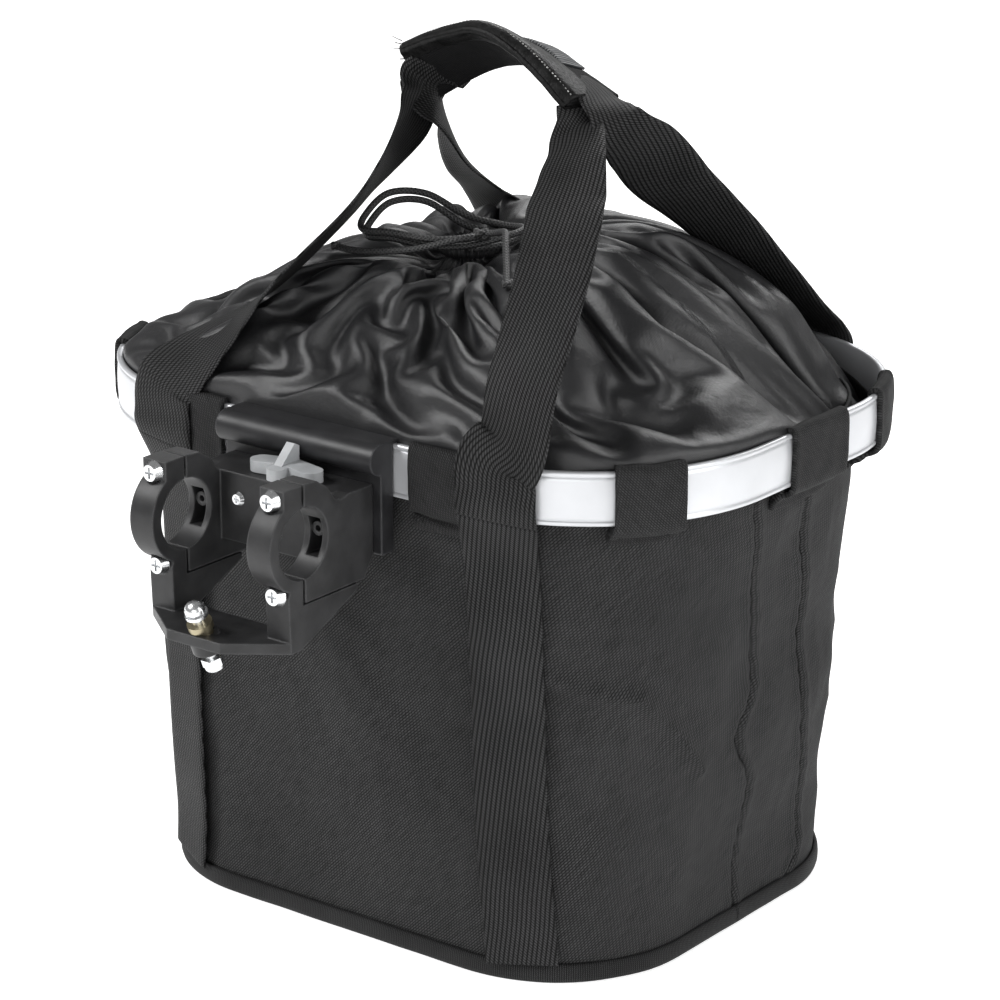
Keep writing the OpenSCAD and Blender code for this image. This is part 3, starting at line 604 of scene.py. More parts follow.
def make_hoop(paints):
    """Extruded aluminium band with rolled lips and a slightly crowned face."""
    lip = 2.6
    face = [(-0.45 + 0.5 * math.sin(math.pi * t), rim_foot + lip + (rim_top - rim_foot - 2 * lip) * t)
            for t in np.linspace(0, 1, 13)]
    low_lip = [(-0.9 + 0.9 * math.cos(a), rim_foot + 1.2 + 1.2 * math.sin(a))
               for a in np.radians([-90, -55, -20, 15, 50, 80])]
    high_lip = [(out, rim_foot + rim_top - z) for out, z in reversed(low_lip)]
    back = [(-2.4, rim_top), (-rim_wall, rim_top - 0.8), (-rim_wall, rim_foot + 0.8), (-2.4, rim_foot)]
    profile = low_lip + face + high_lip + back
    hoop = sweep_round("hoop_band", lambda share, out: rim_line(share, out)[0], profile)
    finish_piece(hoop, paints["rim"], "basket_frame", "rim_band")


def loop_path():
    """Way of a cloth sleeve round the band, as (outward, height), from the bag up the inside and back."""
    return spline([(-9.5, 212), (-5.6, 217), (-4.6, 224), (-4.5, 238), (-4.0, 245.2), (-2.0, 247.4),
                   (0.4, 247.2), (1.9, 244.5), (2.3, 238), (2.1, 228), (1.8, 221.5), (0.9, 218.0),
                   (-1.6, 216.4), (-5.2, 213.6), (-9.0, 209)], 64)


def make_loops(paints):
    """Sewn sleeves that hang the bag on the band, each at a share of the way round it."""
    spots = [(share_where(rim_line, 0, x, low, high), width) for x, width, low, high in (
        (69, 31, 0.75, 0.84), (-68, 31, 0.66, 0.75), (152, 31, 0.8, 1.0), (163.5, 31, 0.0, 0.16),
        (-163, 32, 0.5, 0.7), (-152, 31, 0.3, 0.5), (61, 28, 0.16, 0.25), (-66, 28, 0.25, 0.34))]
    spots += [(0.006, 42), (0.494, 38)]
    round_rim = girth(rim_length, rim_width, rim_corner)
    path = loop_path()
    out, height = path[:, :1], path[:, 1:]
    flare = 1 + 0.05 * (height < 220)
    under_bag = 215.5
    columns = 25
    for number, (share, width) in enumerate(spots):
        across = np.linspace(-width / 2, width / 2, columns)
        edge = np.abs(across) / (width / 2)
        hem = 0.5 * smoothstep(edge, 0.78, 0.9)
        slack = 0.7 * (1 - edge ** 2)
        point, normal = rim_line(share + across * flare / round_rim)
        plan = point + normal * (out + (hem + slack) * np.sign(out + 2))[..., None]
        level = height + 0.6 * hem * (height > 240) - slack * (height < 217)
        grid = np.concatenate([plan, level[..., None]], -1)
        near = np.linspace(share - 0.06, share + 0.06, 500)
        for i in np.flatnonzero(path[:, 1] < under_bag):
            layers = 1 if i < len(path) // 2 else 2
            wall = bag_surface(near, path[i, 1], layers * fabric_wall)[:, :2]
            closest = np.linalg.norm(grid[i, :, None, :2] - wall[None], axis=2).argmin(axis=1)
            hold = smoothstep(under_bag - path[i, 1], 0, 3)
            grid[i, :, :2] += hold * (wall[closest] - grid[i, :, :2])
        grid += wander(grid, 9, number * 3.7)[..., None] * 0.5 * grid_normals(grid)
        normals = grid_normals(grid)
        thick = 1.3 + 1.0 * smoothstep(edge, 0.78, 0.86)
        facing = normals[len(path) // 2, columns // 2] @ np.append(rim_line(share)[1], 0)
        inward = -normals if facing > 0 else normals
        uvs = cloth_map(across[None], ways(path)[:, None])
        sleeve = skin(f"rim_sleeve_{number + 1}", grid, grid + inward * thick[None, :, None], uvs)
        finish_piece(sleeve, paints["loop"], "basket_frame", None if number else "rim_loops")


# ---- bag ----

# Line of the sharpest crease in the bag's near corner
bag_crease = np.array([(109, -107, 146), (124, -94, 138), (137, -78, 134), (142, -60, 116), (146, -44, 92)])


def bag_relief(points, z):
    """How far the cloth stands out or sinks at each point, in millimetres."""
    broad = 3.8 * wander(points, 75, 4.1) + 2.5 * wander(points, 32, 9.3)
    hanging = 1.1 * np.abs(wander(points * [1, 1, 0.3], 16, 2.9))
    slanted = points @ np.array([[0.5, 0.3, 0.0], [0.3, 0.5, 0.0], [0.45, 0.45, 0.25]])
    drawn = 1.5 * np.abs(wander(slanted, 13, 6.1)) * smoothstep(wander(points, 90, 8.8), -0.05, 0.3)
    fade = smoothstep(z, 4, 30) * (1 - 0.7 * smoothstep(z, 195, 215))
    crease = np.zeros_like(z, float)
    for start, run in zip(bag_crease, np.diff(bag_crease, axis=0)):
        along = np.clip((points - start) @ run / (run @ run), 0, 1)
        away = np.linalg.norm(points - start - along[..., None] * run, axis=-1)
        crease = np.maximum(crease, np.exp(-(away / 4.0) ** 1.5))
    return (broad - hanging - drawn) * fade + 4.4 * crease


def bag_surface(share, z, out=0.0):
    """Points of the bag's outside with its relief, moved outward by a distance."""
    share, z = np.broadcast_arrays(share, z)
    point, normal = bag_line(share, z)
    points = np.concatenate([point, z[..., None]], -1)
    points[..., :2] += normal * (bag_relief(points, z) + out)[..., None]
    return points


def seam_share(stations, limits):
    """A function of height that gives a seam's share, from stations of (height, y)."""
    heights, values = zip(*sorted(stations))
    shares = [share_where(lambda s: bag_line(s, h), 1, y, *limits) for h, y in zip(heights, values)]
    line = spline(np.column_stack([heights, shares]), 200)
    return lambda z: np.interp(z, line[:, 0], line[:, 1])


def make_walls(paints):
    """Two side panels and two end gussets, each its own cloth, that share one rippled surface."""
    right_near = seam_share([(8, -1), (68, -2), (98, -17), (126, -11), (186, -20), (236, -28)],
                            (0.9, 1.1))
    right_far = seam_share([(4, 38), (28, 50), (106, 33), (174, 22), (236, 12)], (-0.1, 0.12))
    left_near = seam_share([(8, -34), (80, -30), (150, -24), (236, -18)], (0.4, 0.6))
    left_far = seam_share([(8, 6), (80, 12), (150, 20), (236, 24)], (0.4, 0.6))
    walls = (
        ("mount_side_cloth", "mount_side_panel", left_near, right_near, 200),
        ("far_side_cloth", "far_side_panel", right_far, left_far, 200),
        ("right_gusset_cloth", "right_end_gusset", lambda z: right_near(z) - 1, right_far, 36),
        ("left_gusset_cloth", "left_end_gusset", left_far, left_near, 36),
    )
    rows = 96
    heights = np.linspace(panel_foot - 2, panel_top - 1, rows)
    for name, node, start, end, columns in walls:
        t = np.linspace(0, 1, columns)
        z = np.repeat(heights[:, None], columns, 1)
        share = start(heights)[:, None] * (1 - t) + end(heights)[:, None] * t
        from_edge = np.minimum(t, 1 - t) * (end(heights) - start(heights))[:, None] * girth(*bag_size(z))
        tuck = -1.5 * np.exp(-(from_edge / 1.5) ** 2) + 0.7 * np.exp(-((from_edge - 4) / 2.2) ** 2)
        pucker = np.sin(z * 0.62 + 2.5 * wander(np.stack([z, z * 0, z * 0], -1), 20, 4.4))
        tuck += 0.45 * pucker * np.exp(-from_edge / 7)
        outer = bag_surface(share, z, tuck)
        inner = outer.copy()
        inner[..., :2] -= bag_line(share, z)[1] * fabric_wall
        cloth = skin(name, outer, inner, np.stack([share * girth(*bag_size(120)), z], -1))
        finish_piece(cloth, paints["body"], node=node)
        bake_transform(cloth)


def make_base(paints):
    """The cloth under the base and the tape that binds its edge."""
    outs = [(-0.2, 0.4), (1.2, 0.0), (2.2, 0.8), (2.7, 2.4), (2.8, 4.6), (2.6, 6.8), (2.0, 8.6),
            (1.0, 9.2), (0.4, 8.4), (0.3, 4.0)]

    def tape_line(share, out):
        point, normal = bag_line(share, panel_foot)
        wave = 0.5 * wander(np.concatenate([point, np.zeros((len(point), 1))], 1), 22, 1.7)
        return point + normal * (out + wave[:, None] * (out > 0.5))

    tape = sweep_round("base_tape", tape_line, outs, 480)
    finish_piece(tape, paints["tape"], "base", "base_binding")
    shares = np.linspace(0, 1, 240, endpoint=False)
    edge, _ = bag_line(shares, panel_foot)
    rings = np.linspace(0.02, 1, 40)
    grid = np.zeros((len(rings), len(shares), 3))
    grid[..., :2] = edge[None] * rings[:, None, None]
    grid[..., 2] = 0.3 + 0.5 * wander(grid, 40, 2.2) * smoothstep(1 - rings, 0.02, 0.2)[:, None] + 0.4
    grid[..., 2] = np.maximum(grid[..., 2], 0.15)
    top = grid.copy()
    top[..., 2] = 3.5
    cloth = skin("base_cloth", top, grid, grid[..., :2], wrap_columns=True)
    finish_piece(cloth, paints["body"], "base", "base_panel")


# ---- webbing ----

def ribbon(name, centres, across, widths, columns=13):
    """A flat strap with soft edges, from its middle line, its width directions and widths."""
    along = unit(np.gradient(centres, axis=0))
    across = unit(across - along * np.sum(across * along, axis=1, keepdims=True))
    normal = np.cross(across, along)
    share = np.linspace(-1, 1, columns)
    lift = normal[:, None] * (strap_thick / 2 * (1 - 0.55 * np.abs(share) ** 8))[None, :, None]
    middle = centres[:, None] + across[:, None] * share[None, :, None] * widths[:, None, None] / 2
    uvs = cloth_map(share[None] * widths[:, None] / 2, ways(centres)[:, None])
    return skin(name, middle - lift, middle + lift, uvs)


def strap_line(sign_x, sign_y, run_x, hoop_x, top_stations):
    """Stations of one strap from the base over the hoop to the grip: middle and width direction."""
    middles, sides = [], []
    quarter = {(1, 1): (0, 0.25), (-1, 1): (0.25, 0.5), (-1, -1): (0.5, 0.75), (1, -1): (0.75, 1)}
    low, high = quarter[sign_x, sign_y]
    for z, x in run_x:
        share = share_where(lambda s: bag_line(s, z), 0, sign_x * x, low, high)
        normal = bag_line(share, z)[1]
        middles.append(bag_surface(np.array(share), np.array(float(z)), 2.6))
        sides.append([-normal[1], normal[0], 0])
    point, normal = rim_line(share_where(rim_line, 0, sign_x * hoop_x, low, high))
    for out, z in ((2.2, 225), (2.4, 235), (1.6, 245)):
        middles.append([*(point + normal * out), z])
        sides.append([-normal[1], normal[0], 0])
    sides = [[-a for a in side] if side[0] * sign_x < 0 else side for side in sides]
    for x, y, z, turn, tilt in top_stations:
        middles.append([x, y, z])
        turn, tilt = math.radians(turn), math.radians(tilt)
        sides.append([math.cos(turn) * math.cos(tilt), math.sin(turn) * math.cos(tilt), math.sin(tilt)])
    return np.array(middles), np.array(sides)


# Stations up the bag, as (height, distance from the middle)
near_right_run = [(9, 97), (30, 96), (60, 94.5), (120, 93.5), (165, 94), (198, 93)]
left_run = [(9, 98.5), (30, 97), (60, 95), (120, 93), (165, 91), (198, 88.5)]
far_right_run = [(9, 96), (30, 95), (60, 93), (120, 91), (165, 91.5), (198, 93)]
# For each strap: its quarter, its way up the bag, its x at the hoop, and its stations from there to the
# grip, as (x, y, z, turn of the width, tilt of the width)
strap_plans = {
    "mount_right": (1, -1, near_right_run, 98, [
        (107, -129, 257, -2, 0), (108, -124, 280, -2, 0), (106, -112, 299, -2, 0), (99, -92, 318, -3, 0),
        (86, -66, 337, -5, 0), (79, -54, 344, -6, 0), (69.5, -38, 353, -3, 12), (61.5, -24.5, 359, 0, 17),
        (53.5, -13.5, 362.5, 2, 14), (51, -6, 367, 8, 4), (47, 0, 370, 12, -6)]),
    "mount_left": (-1, -1, left_run, 88.5, [
        (-85, -127, 252, 184, 0), (-71, -109, 271, 158, -10), (-58, -88, 290, 137, -25),
        (-46, -56, 315, 138, -29), (-44, -34, 331, 126, -22), (-42, -12, 350, 104, -16),
        (-42.5, -3, 362, 94, -30), (-41, 0, 370, 90, -45), (-34, 0, 377, 90, -43)]),
    "far_right": (1, 1, far_right_run, 93, [
        (91.5, 123, 252.5, 0, 0), (88, 108, 265, 3, 3), (82.5, 90, 284, 7, 6), (76.5, 64, 309.2, 13, 11),
        (71.8, 36, 331.6, 23, 19), (72, 14, 350.2, 36, 24), (72, -4, 364.2, 50, 20),
        (65.5, -5, 371.3, 70, 6), (57.5, -2, 375, 86, -4), (50, 0, 378.5, 90, -8), (42, 0, 382, 90, -10)]),
    "far_left": (-1, 1, left_run, 88.5, [
        (-86, 128, 252, 180, 0), (-70, 104, 272, 180, 0), (-52, 66, 300, 174, 0), (-44, 40, 316, 164, 0),
        (-40.5, 24, 330, 150, 0), (-38, 12, 346, 128, -6), (-41, 5, 360, 100, -26), (-40, 2, 369, 90, -44),
        (-33, 2, 376, 90, -43)]),
}


def make_straps(paints):
    """Four lengths of webbing, each in a lower and an upper piece that meet at the hoop."""
    for name, (sign_x, sign_y, run, hoop_x, tops) in strap_plans.items():
        middles, sides = strap_line(sign_x, sign_y, run, hoop_x, tops)
        line = spline(np.hstack([middles, sides]), 260)
        centres, across = line[:, :3], unit(line[:, 3:])
        height = centres[:, 2]
        centres[:, :2] += across[:, :2] * (0.5 * wander(centres, 22, 6.6))[:, None]
        widths = strap_width - 4 + 4 * smoothstep(height, 195, 228) - 6 * smoothstep(height, 335, 366)
        if sign_x > 0:
            widths -= 8 * smoothstep(height, 353, 367)
        cut = int(np.argmax(height > 220))
        side = name.split("_")[0]
        lower = ribbon(f"strap_run_{name}", centres[:cut + 1], across[:cut + 1], widths[:cut + 1])
        upper = ribbon(f"strap_carry_{name}", centres[cut:], across[cut:], widths[cut:])
        finish_piece(lower, paints["webbing"], node=f"{side}_strap_runs" if sign_x > 0 else None)
        finish_piece(upper, paints["webbing"], node=f"carry_strap_{name}")
        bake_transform(lower)
        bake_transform(upper)


# ---- grip ----

grip_width = 37
grip_length = 105
# Near edge of the grip, as (x, z, roll in degrees)
grip_edge = [(-45.6, 386.7, -47), (-31.2, 393.2, -41), (-16.1, 398.4, -35), (-2.6, 401.8, -33),
             (10.4, 400.0, -28), (24.4, 394.2, -22), (39.3, 384.7, -14), (52.4, 374.5, -7)]


def grip_frame(steps):
    """Middle, width direction and up direction of the grip at steps from 0 (left) to 1 (right)."""
    line = spline(grip_edge, 200)
    whole = np.linspace(0, 1, len(line))
    x, z, roll = (np.interp(steps, whole, line[:, k]) for k in range(3))
    slope = np.interp(steps, whole, np.gradient(line[:, 1]) / np.gradient(line[:, 0]))
    roll = np.radians(roll)
    nought = np.zeros_like(x)
    side = np.stack([nought, np.cos(roll), np.sin(roll)], -1)
    along = unit(np.stack([np.ones_like(x), nought, slope], -1))
    edge = np.stack([x, -grip_width / 2 * np.cos(roll), z], -1)
    return edge + side * grip_width / 2, side, unit(np.cross(along, side))


def grip_strip(name, start, end, offsets, lift, thick, paint, turned=False):
    """A strip of cloth along the grip; lift gives its height from shares across and along it."""
    steps = 70
    middle, side, up = grip_frame(np.linspace(start, end, steps))
    across = np.linspace(0, 1, 15)
    offset = offsets[0] + (offsets[1] - offsets[0]) * across
    rise = np.broadcast_to(lift(across, np.linspace(0, 1, steps)[:, None]), (steps, 15))
    outer = middle[:, None] + side[:, None] * offset[None, :, None] + up[:, None] * rise[..., None]
    outer += 0.35 * wander(outer, 7, 3.1)[..., None] * up[:, None]
    uvs = cloth_map(offset[None], np.linspace(0, (end - start) * grip_length, steps)[:, None])
    strip = skin(name, outer - up[:, None] * thick, outer, uvs[..., ::-1] if turned else uvs)
    return finish_piece(strip, paint, "handle")


def quarter_round(share):
    """Height from 0 to 1 of a quarter circle over a share that may pass 1."""
    return np.sqrt(1 - (1 - np.minimum(share, 1)) ** 2)


def make_grip(paints):
    """Padded cloth wrap with a shiny edging, a lining, a ribbed patch and stitches painted pale as
    highlights.
    """
    rows, columns = 80, 36
    middle, side, up = grip_frame(np.linspace(0, 1, rows))
    turn = angles(columns)
    across = np.sign(np.cos(turn)) * np.abs(np.cos(turn)) ** 0.6 * grip_width / 2
    rise = np.sign(np.sin(turn)) * np.abs(np.sin(turn)) ** 0.55
    rise = np.where(rise > 0, 3.4 * rise, 2.2 * rise)
    grid = middle[:, None] + side[:, None] * across[None, :, None] + up[:, None] * rise[None, :, None]
    grid += wander(grid, 14, 5.5)[..., None] * 0.5 * up[:, None]
    uvs = cloth_map(np.linspace(0, 80, columns)[None], np.linspace(0, grip_length, rows)[:, None])
    pad = new_mesh("grip_pad", grid, tube_faces(rows, columns, flip=False), uvs)
    finish_piece(pad, paints["grip"], "handle", "handle_grip")
    near, far = -grip_width / 2, grip_width / 2
    grip_strip("grip_edging", -0.03, 1.0, (near - 1.6, near + 17),
               lambda a, t: -1.2 + 6.2 * quarter_round(a * 2.6), 1.3, paints["edging"])
    grip_strip("grip_edge_fold", -0.015, 1.0, (near - 1.5, near + 7),
               lambda a, t: -1.0 - 2.3 * quarter_round(a * 3), -1.1, paints["edging"])
    grip_strip("grip_lining", 0.0, 1.0, (near + 5, far - 0.5), lambda a, t: -2.9, -0.9, paints["lining"])
    grip_strip("grip_far_fold", 0.0, 1.0, (near + 15, far + 0.6),
               lambda a, t: 4.0 - 3.4 * np.maximum(a * 5 - 4, 0) ** 2, 1.0, paints["grip"])
    patch = grip_strip("grip_ribbed_patch", 0.5, 0.77, (near + 17.5, far - 1.5),
                       lambda a, t: 4.9 + 2.8 * np.sin(math.pi * t) * np.sin(math.pi * (0.15 + 0.7 * a)),
                       1.2, paints["patch"], turned=True)
    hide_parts("grip_patch")
    middle, side, up = grip_frame(np.linspace(0.0, 0.985, 58))
    places = middle + side * (near + 1.4) + up * 3.6
    # Stitches along the near edge, painted pale with the glint material as highlights.
    stitches("grip_stitches", [(a * 0.8 + b * 0.2, a * 0.2 + b * 0.8) for a, b in zip(places, places[1:])],
             0.4, paints["glint"])
    draw = random.Random(3)
    out, across, high = np.array([-1, 0, 0]), side[0], up[0]
    corner = middle[0] + across * (near + 3)
    frays = []
    for _ in range(14):
        foot = corner + across * draw.uniform(-4, 9) + high * draw.uniform(-1, 4)
        tip = foot + out * draw.uniform(2.5, 6.5) + across * draw.uniform(-2, 2) + high * draw.uniform(-2, 2)
        frays.append((foot, tip))
    stitches("grip_frayed_threads", frays, 0.16, paints["thread"])


def stitches(name, ends, radius, paint):
    """Short round threads, one for each pair of ends, as one piece."""
    points, faces = [], []
    for start, end in ends:
        along = unit(end - start)
        side = unit(np.cross(along, [0.3, 0.2, 1.0]))
        over = np.cross(side, along)
        first = len(points)
        for share, size in ((0, 0.3), (0.15, 0.9), (0.5, 1.1), (0.85, 0.9), (1, 0.3)):
            for turn in angles(6):
                points.append(start + (end - start) * share
                              + radius * size * (math.cos(turn) * side + math.sin(turn) * over))
        faces += [tuple(first + k for k in face) for face in tube_faces(5, 6)]
    finish_piece(new_mesh(name, points, faces), paint, "handle")


# ---- hood ----

hood_out = -4.0
hood_seam = 243
hood_rise = 74
crown = np.array([30.0, 9.0])


def least_share(inside, shape, top, rounds):
    """The least share, up to top, that a test finds inside, found by halving."""
    low, high = np.zeros(shape), np.full(shape, top)
    for _ in range(rounds):
        middle = (low + high) / 2
        found = inside(middle)
        high = np.where(found, middle, high)
        low = np.where(found, low, middle)
    return (low + high) / 2


def hood_gauge(point):
    """How far out a point lies, as a share of the hood's outline through it."""
    corner = rim_corner + hood_out
    straight = np.array([rim_length / 2, rim_width / 2]) + hood_out - corner

    def inside(share):
        away = np.abs(point) - straight * share[..., None]
        reach = np.where(np.all(away > 0, axis=-1), np.linalg.norm(away, axis=-1), away.max(axis=-1))
        return reach < corner * share

    return least_share(inside, point.shape[:-1], 1.3, 28)


def far_corner(point):
    """From 0 to 1 towards the two ends of the hoop's far side, where the hood sags behind the band."""
    ahead = np.where(point[..., 0] < 0, 70, 30)
    ends = smoothstep(np.abs(point[..., 0]), 70, 140)
    return ends * smoothstep(point[..., 1] + ahead, 0, 90)


def hood_edge(point):
    """Height of the seam that holds the hood inside the hoop."""
    return hood_seam - 10 * far_corner(point)


def dome_height(point):
    """Height of the smooth hood over a point, with its crown set to one side."""
    def inside(share):
        centre = crown * (1 - share ** 2)[..., None] ** 1.5
        return hood_gauge(point - centre) <= share

    share = least_share(inside, point.shape[:-1], 1.0, 22)
    fall = np.where(point[..., 0] > 0, 15, 11) * smoothstep(np.abs(point[..., 0]), 40, 135)
    sag = 16 * smoothstep(share, 0.35, 0.85) * far_corner(point)
    dome = hood_rise * (1 - share ** 2.05) ** 0.86
    return hood_edge(point) + dome - fall * np.sin(math.pi * share ** 1.5) - sag


def pair_groups(rows, columns):
    """Neighbours on the cloth's grid, in groups where each point is used once: (first, second, kind)."""
    number = np.arange(rows * columns).reshape(rows, columns)
    groups = []
    kinds = (("weft", 0, 1), ("warp", 1, 0), ("bias", 1, 1), ("bias", 1, -1), ("bend", 0, 2), ("bend", 2, 0))
    for kind, down, across in kinds:
        here, there = number[:rows - down], np.roll(number, -across, axis=1)[down:]
        step, axis = (down, 0) if down else (across, 1)
        for phase in range(2):
            chosen = [i for i in range(here.shape[axis]) if (i // step) % 2 == phase]
            groups.append((here.take(chosen, axis).ravel(), there.take(chosen, axis).ravel(), kind))
    return groups


def settle(start, weft, warp, low, high, steps):
    """Cloth held at its two edges and let go: it keeps its cut lengths and stays between two heights."""
    rows, columns = start.shape[:2]
    hold = {"weft": (1.0, 0.9), "warp": (1.0, 0.9), "bias": (0.35, 0.12), "bend": (0.0, 0.22)}
    press_in, weight, keep_going, fastest = -0.005, np.array([0, 0, -0.004]), 0.93, 1.2
    free = np.ones((rows, columns))
    free[[0, -1]] = 0
    free = free.ravel()
    weft, warp = weft.ravel(), warp.ravel()
    ties = []
    for first, second, kind in pair_groups(rows, columns):
        if kind == "bend":
            rest = np.where(np.abs(first - second) % columns, weft[first], warp[first]) * 1.8
        else:
            rest = {"weft": weft, "warp": warp, "bias": np.hypot(weft, warp)}[kind][first]
        share = 1 / np.maximum(free[first] + free[second], 1)
        ties.append((first, second, rest, share, *hold[kind]))
    now = start.reshape(-1, 3).copy()
    before = now.copy()
    for _ in range(steps):
        normal = grid_normals(now.reshape(rows, columns, 3), True).reshape(-1, 3)
        move = keep_going * (now - before) + normal * press_in + weight
        move *= np.minimum(1, fastest / np.maximum(np.linalg.norm(move, axis=1, keepdims=True), 1e-9))
        before = now.copy()
        now = now + move * free[:, None]
        for _ in range(5):
            for first, second, rest, share, stretch, press in ties:
                gap = now[second] - now[first]
                length = np.sqrt(np.einsum("ij,ij->i", gap, gap)) + 1e-9
                error = (length - rest) * share / length
                shift = gap * (error * np.where(error > 0, stretch, press))[:, None]
                now[first] += shift * free[first, None]
                now[second] -= shift * free[second, None]
            now[:, 2] = np.clip(now[:, 2], low.ravel(), high.ravel())
    return now.reshape(rows, columns, 3)


def first_folds(angle, reach, grid):
    """Gentle folds out from the mouth, fewer and wider towards the hoop, for the cloth to start from."""
    ring = [np.cos(angle), np.sin(angle)]
    slow = wander(np.stack([ring[0] * 2.2, ring[1] * 2.2, reach / 60], -1), 1.0, 4.0)
    quick = wander(np.stack([ring[0] * 5, ring[1] * 5, reach / 40], -1), 1.0, 9.0)
    near = np.abs(np.sin(0.5 * (26 * angle + 5 * slow + 1.5 * quick)))
    far = np.abs(np.sin(0.5 * (15 * angle + 4 * slow + 2 * quick)))
    mix = smoothstep(reach, 45, 110)
    return 4.0 * near * (1 - mix) + 6.0 * far * mix + wander(grid, 9, 2.0)


def make_hood(paints):
    """Drawn hood of thin nylon: a strip with one edge inside the hoop and the other gathered to a mouth."""
    columns, rows, mouth = 340, 62, 8.5
    shares = np.linspace(0, 1, columns, endpoint=False)
    foot, _ = rim_line(shares, hood_out)
    away = foot - gather
    distance = np.linalg.norm(away, axis=1)
    steps = np.linspace(0, 1, rows)
    reach = mouth + (distance[None] - mouth) * steps[:, None]
    plan = gather + away[None] / distance[None, :, None] * reach[..., None]
    height = dome_height(plan) - 15 * (1 - smoothstep(reach, mouth, 56))
    height += (gather_z + 1 - height) * np.exp(-((reach - mouth) / 12) ** 2)
    grid = np.concatenate([plan, height[..., None]], -1)
    side = np.linalg.norm(np.roll(grid, -1, axis=1) - grid, axis=2)
    slope = np.linalg.norm(np.diff(grid, axis=0, append=grid[-1:]), axis=2)
    fullest = 1.9
    weft = np.maximum(np.minimum(side[-1].sum() / columns, side * fullest), side)
    arcs = slope.sum(axis=0)
    ease = 1.01 * (0.4 * arcs.max() + 0.6 * arcs) / arcs
    warp = slope * ease
    angle = np.broadcast_to(np.arctan2(away[:, 1], away[:, 0]), reach.shape)
    hold = np.sqrt(np.sin(math.pi * steps))[:, None]
    start = grid - grid_normals(grid, True) * (hold * (first_folds(angle, reach, grid) - 4))[..., None]
    ceiling = height + 1.5 + 2 * smoothstep(reach, 42, 80)
    cloth = settle(start, weft, warp, height - 13, ceiling, 200)
    beyond = np.maximum(hood_gauge(cloth[..., :2]) / 1.012, 1)
    cloth[..., :2] /= beyond[..., None]
    ease_in = 0.5 * smoothstep(reach, 14, 60)[1:-1, :, None]
    for _ in range(3):
        beside = (np.roll(cloth, 1, axis=1) + np.roll(cloth, -1, axis=1))[1:-1]
        cloth[1:-1] += ease_in * ((beside + cloth[:-2] + cloth[2:]) / 4 - cloth[1:-1])
    throat_drops, skirt_drops = np.array([12, 8, 4]), np.array([2.5, 5, 7.5, 10])
    inside = (foot - gather) / distance[:, None]
    level = np.full(columns, gather_z + 1)
    throat = [np.column_stack([gather + inside * (mouth - 0.12 * drop), level - drop])
              for drop in throat_drops]
    skirt = [np.column_stack([foot, hood_edge(foot) - drop]) for drop in skirt_drops]
    outer = np.concatenate([throat, cloth, skirt])
    inner = outer + grid_normals(outer, True) * 0.6
    depth = np.concatenate([reach[0, 0] - throat_drops, reach.mean(axis=1), reach[-1].mean() + skirt_drops])
    uvs = cloth_map(shares[None] * 1000, depth[:, None])
    hood = skin("hood_cloth", inner, outer, uvs, wrap_columns=True)
    finish_piece(hood, paints["hood"], "basket_frame", "hood")
    soften = hood.modifiers.new("soft_folds", "SUBSURF")
    soften.levels = soften.render_levels = 1


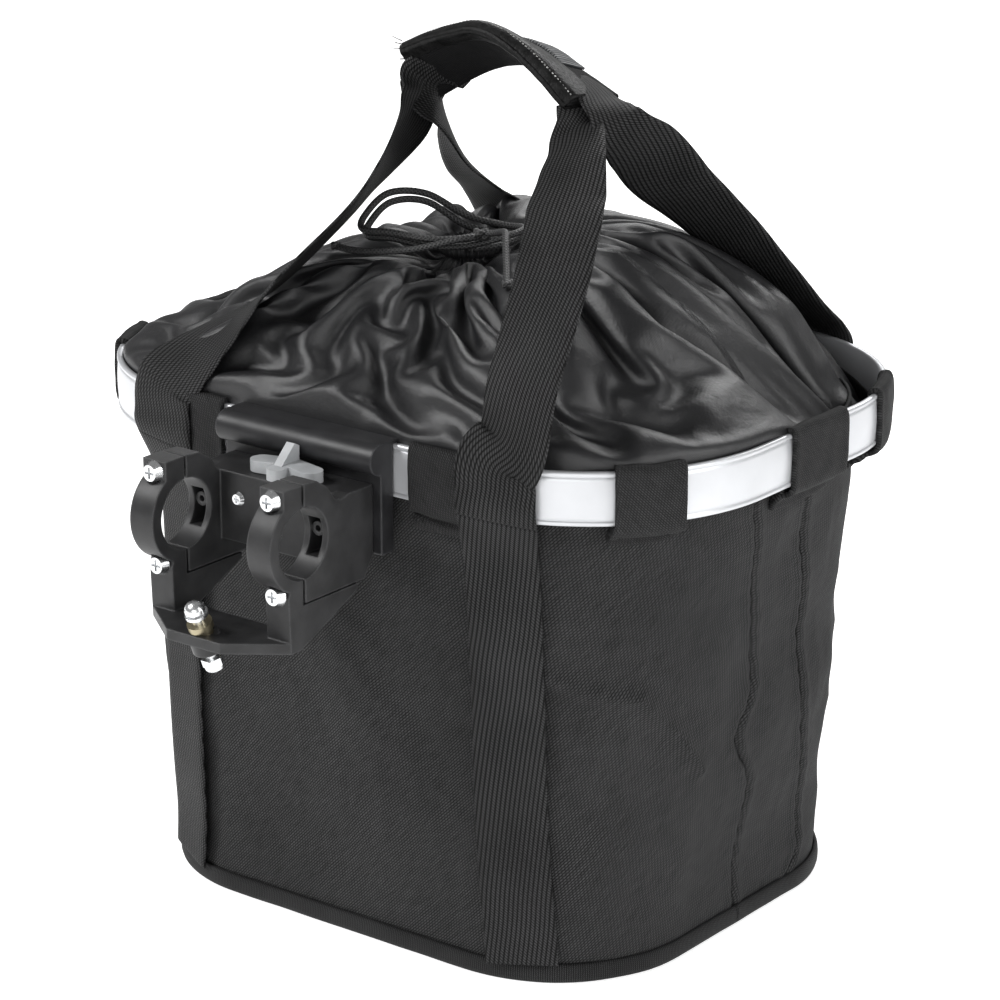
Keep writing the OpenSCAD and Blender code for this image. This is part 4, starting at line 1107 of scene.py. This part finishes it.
def make_hem(paints):
    """Ruffled channel round the drawn mouth."""
    sides, steps = 20, 420
    turn, around = angles(steps), angles(sides)
    draw = random.Random(5)
    ruffle = sum(draw.uniform(0.3, 0.6) * np.sin(n * turn + draw.uniform(0, 6.28)) for n in (19, 27, 34, 41))
    radius = 11.6 + ruffle[None] * (0.6 + 0.8 * np.sin(around)[:, None])
    ring_r = 3.1 + 0.5 * ruffle[None]
    out = radius + ring_r * np.cos(around)[:, None]
    z = gather_z + 3.4 + ring_r * np.sin(around)[:, None] * 1.1
    grid = np.stack([gather[0] + out * np.cos(turn)[None], gather[1] + out * np.sin(turn)[None], z], -1)
    faces = grid_faces(sides, steps, wrap_rows=True, wrap_columns=True)
    hem = new_mesh("hood_mouth_hem", grid, faces, cloth_map(turn[None] * 60, around[:, None] * 3))
    finish_piece(hem, paints["hood"], "basket_frame", "hood_hem")


# ---- the release spring ----

def make_spring(paints):
    """The release knob's coil, made at one length; the real coil shortens up to its fixed top as the knob is
    pulled.
    """
    low, high = box_mm("release_spring")
    middle = (low + high) / 2
    wire_r = 0.5
    coil_r = high[0] - middle[0] - wire_r
    turns = 5
    turn = np.linspace(0, 2 * math.pi * turns, turns * 32 + 1)
    rise = np.linspace(low[2] + wire_r, high[2] - wire_r, len(turn))
    line = np.stack([middle[0] + coil_r * np.cos(turn), middle[1] + coil_r * np.sin(turn), rise], 1)
    spring = tube("release_spring_coil", line, wire_r, 10)
    spring.data.materials.append(paints["zinc"])
    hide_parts("release_spring")
    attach(spring, "bracket")
    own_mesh(spring)


# ---- carried-over CAD parts ----

def dress_cad(paints):
    """Materials and softened edges for the moulded and metal parts that CAD already shapes."""
    dress = {
        ("plastic", 0.5): ["bracket_body", "clamp_yoke"],
        ("plate", 0.5): ["hook_plate"],
        ("plate", 0.4): ["backing_plate"],
        ("knob", 0.7): ["release_knob"],
        ("latch", 0.3): ["release_latch"],
        ("zinc", 0.25): ["clamp_screws", "adapter_screws", "support_bolt", "support_cap_nut"],
        ("zinc", 0.2): ["body_screw", "clamp_nuts"],
        ("brass", 0.2): ["support_insert"],
        ("rim", 0.2): ["rim_splice", "splice_rivets"],
        ("board", 0.4): ["base_board"],
    }
    for (paint, edge), nodes in dress.items():
        for node in nodes:
            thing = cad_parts[node]
            thing.data.materials.clear()
            thing.data.materials.append(paints[paint])
            soften = thing.modifiers.new("soft_edges", "BEVEL")
            soften.width = edge * MM
            soften.segments = 2
            soften.limit_method = "ANGLE"
            soften.angle_limit = math.radians(38)
            soften.harden_normals = False


make_camera()
paints = make_materials()
make_cords(paints)
make_studio()
make_hoop(paints)
make_loops(paints)
make_walls(paints)
make_base(paints)
make_straps(paints)
make_grip(paints)
make_hood(paints)
make_hem(paints)
make_spring(paints)
dress_cad(paints)
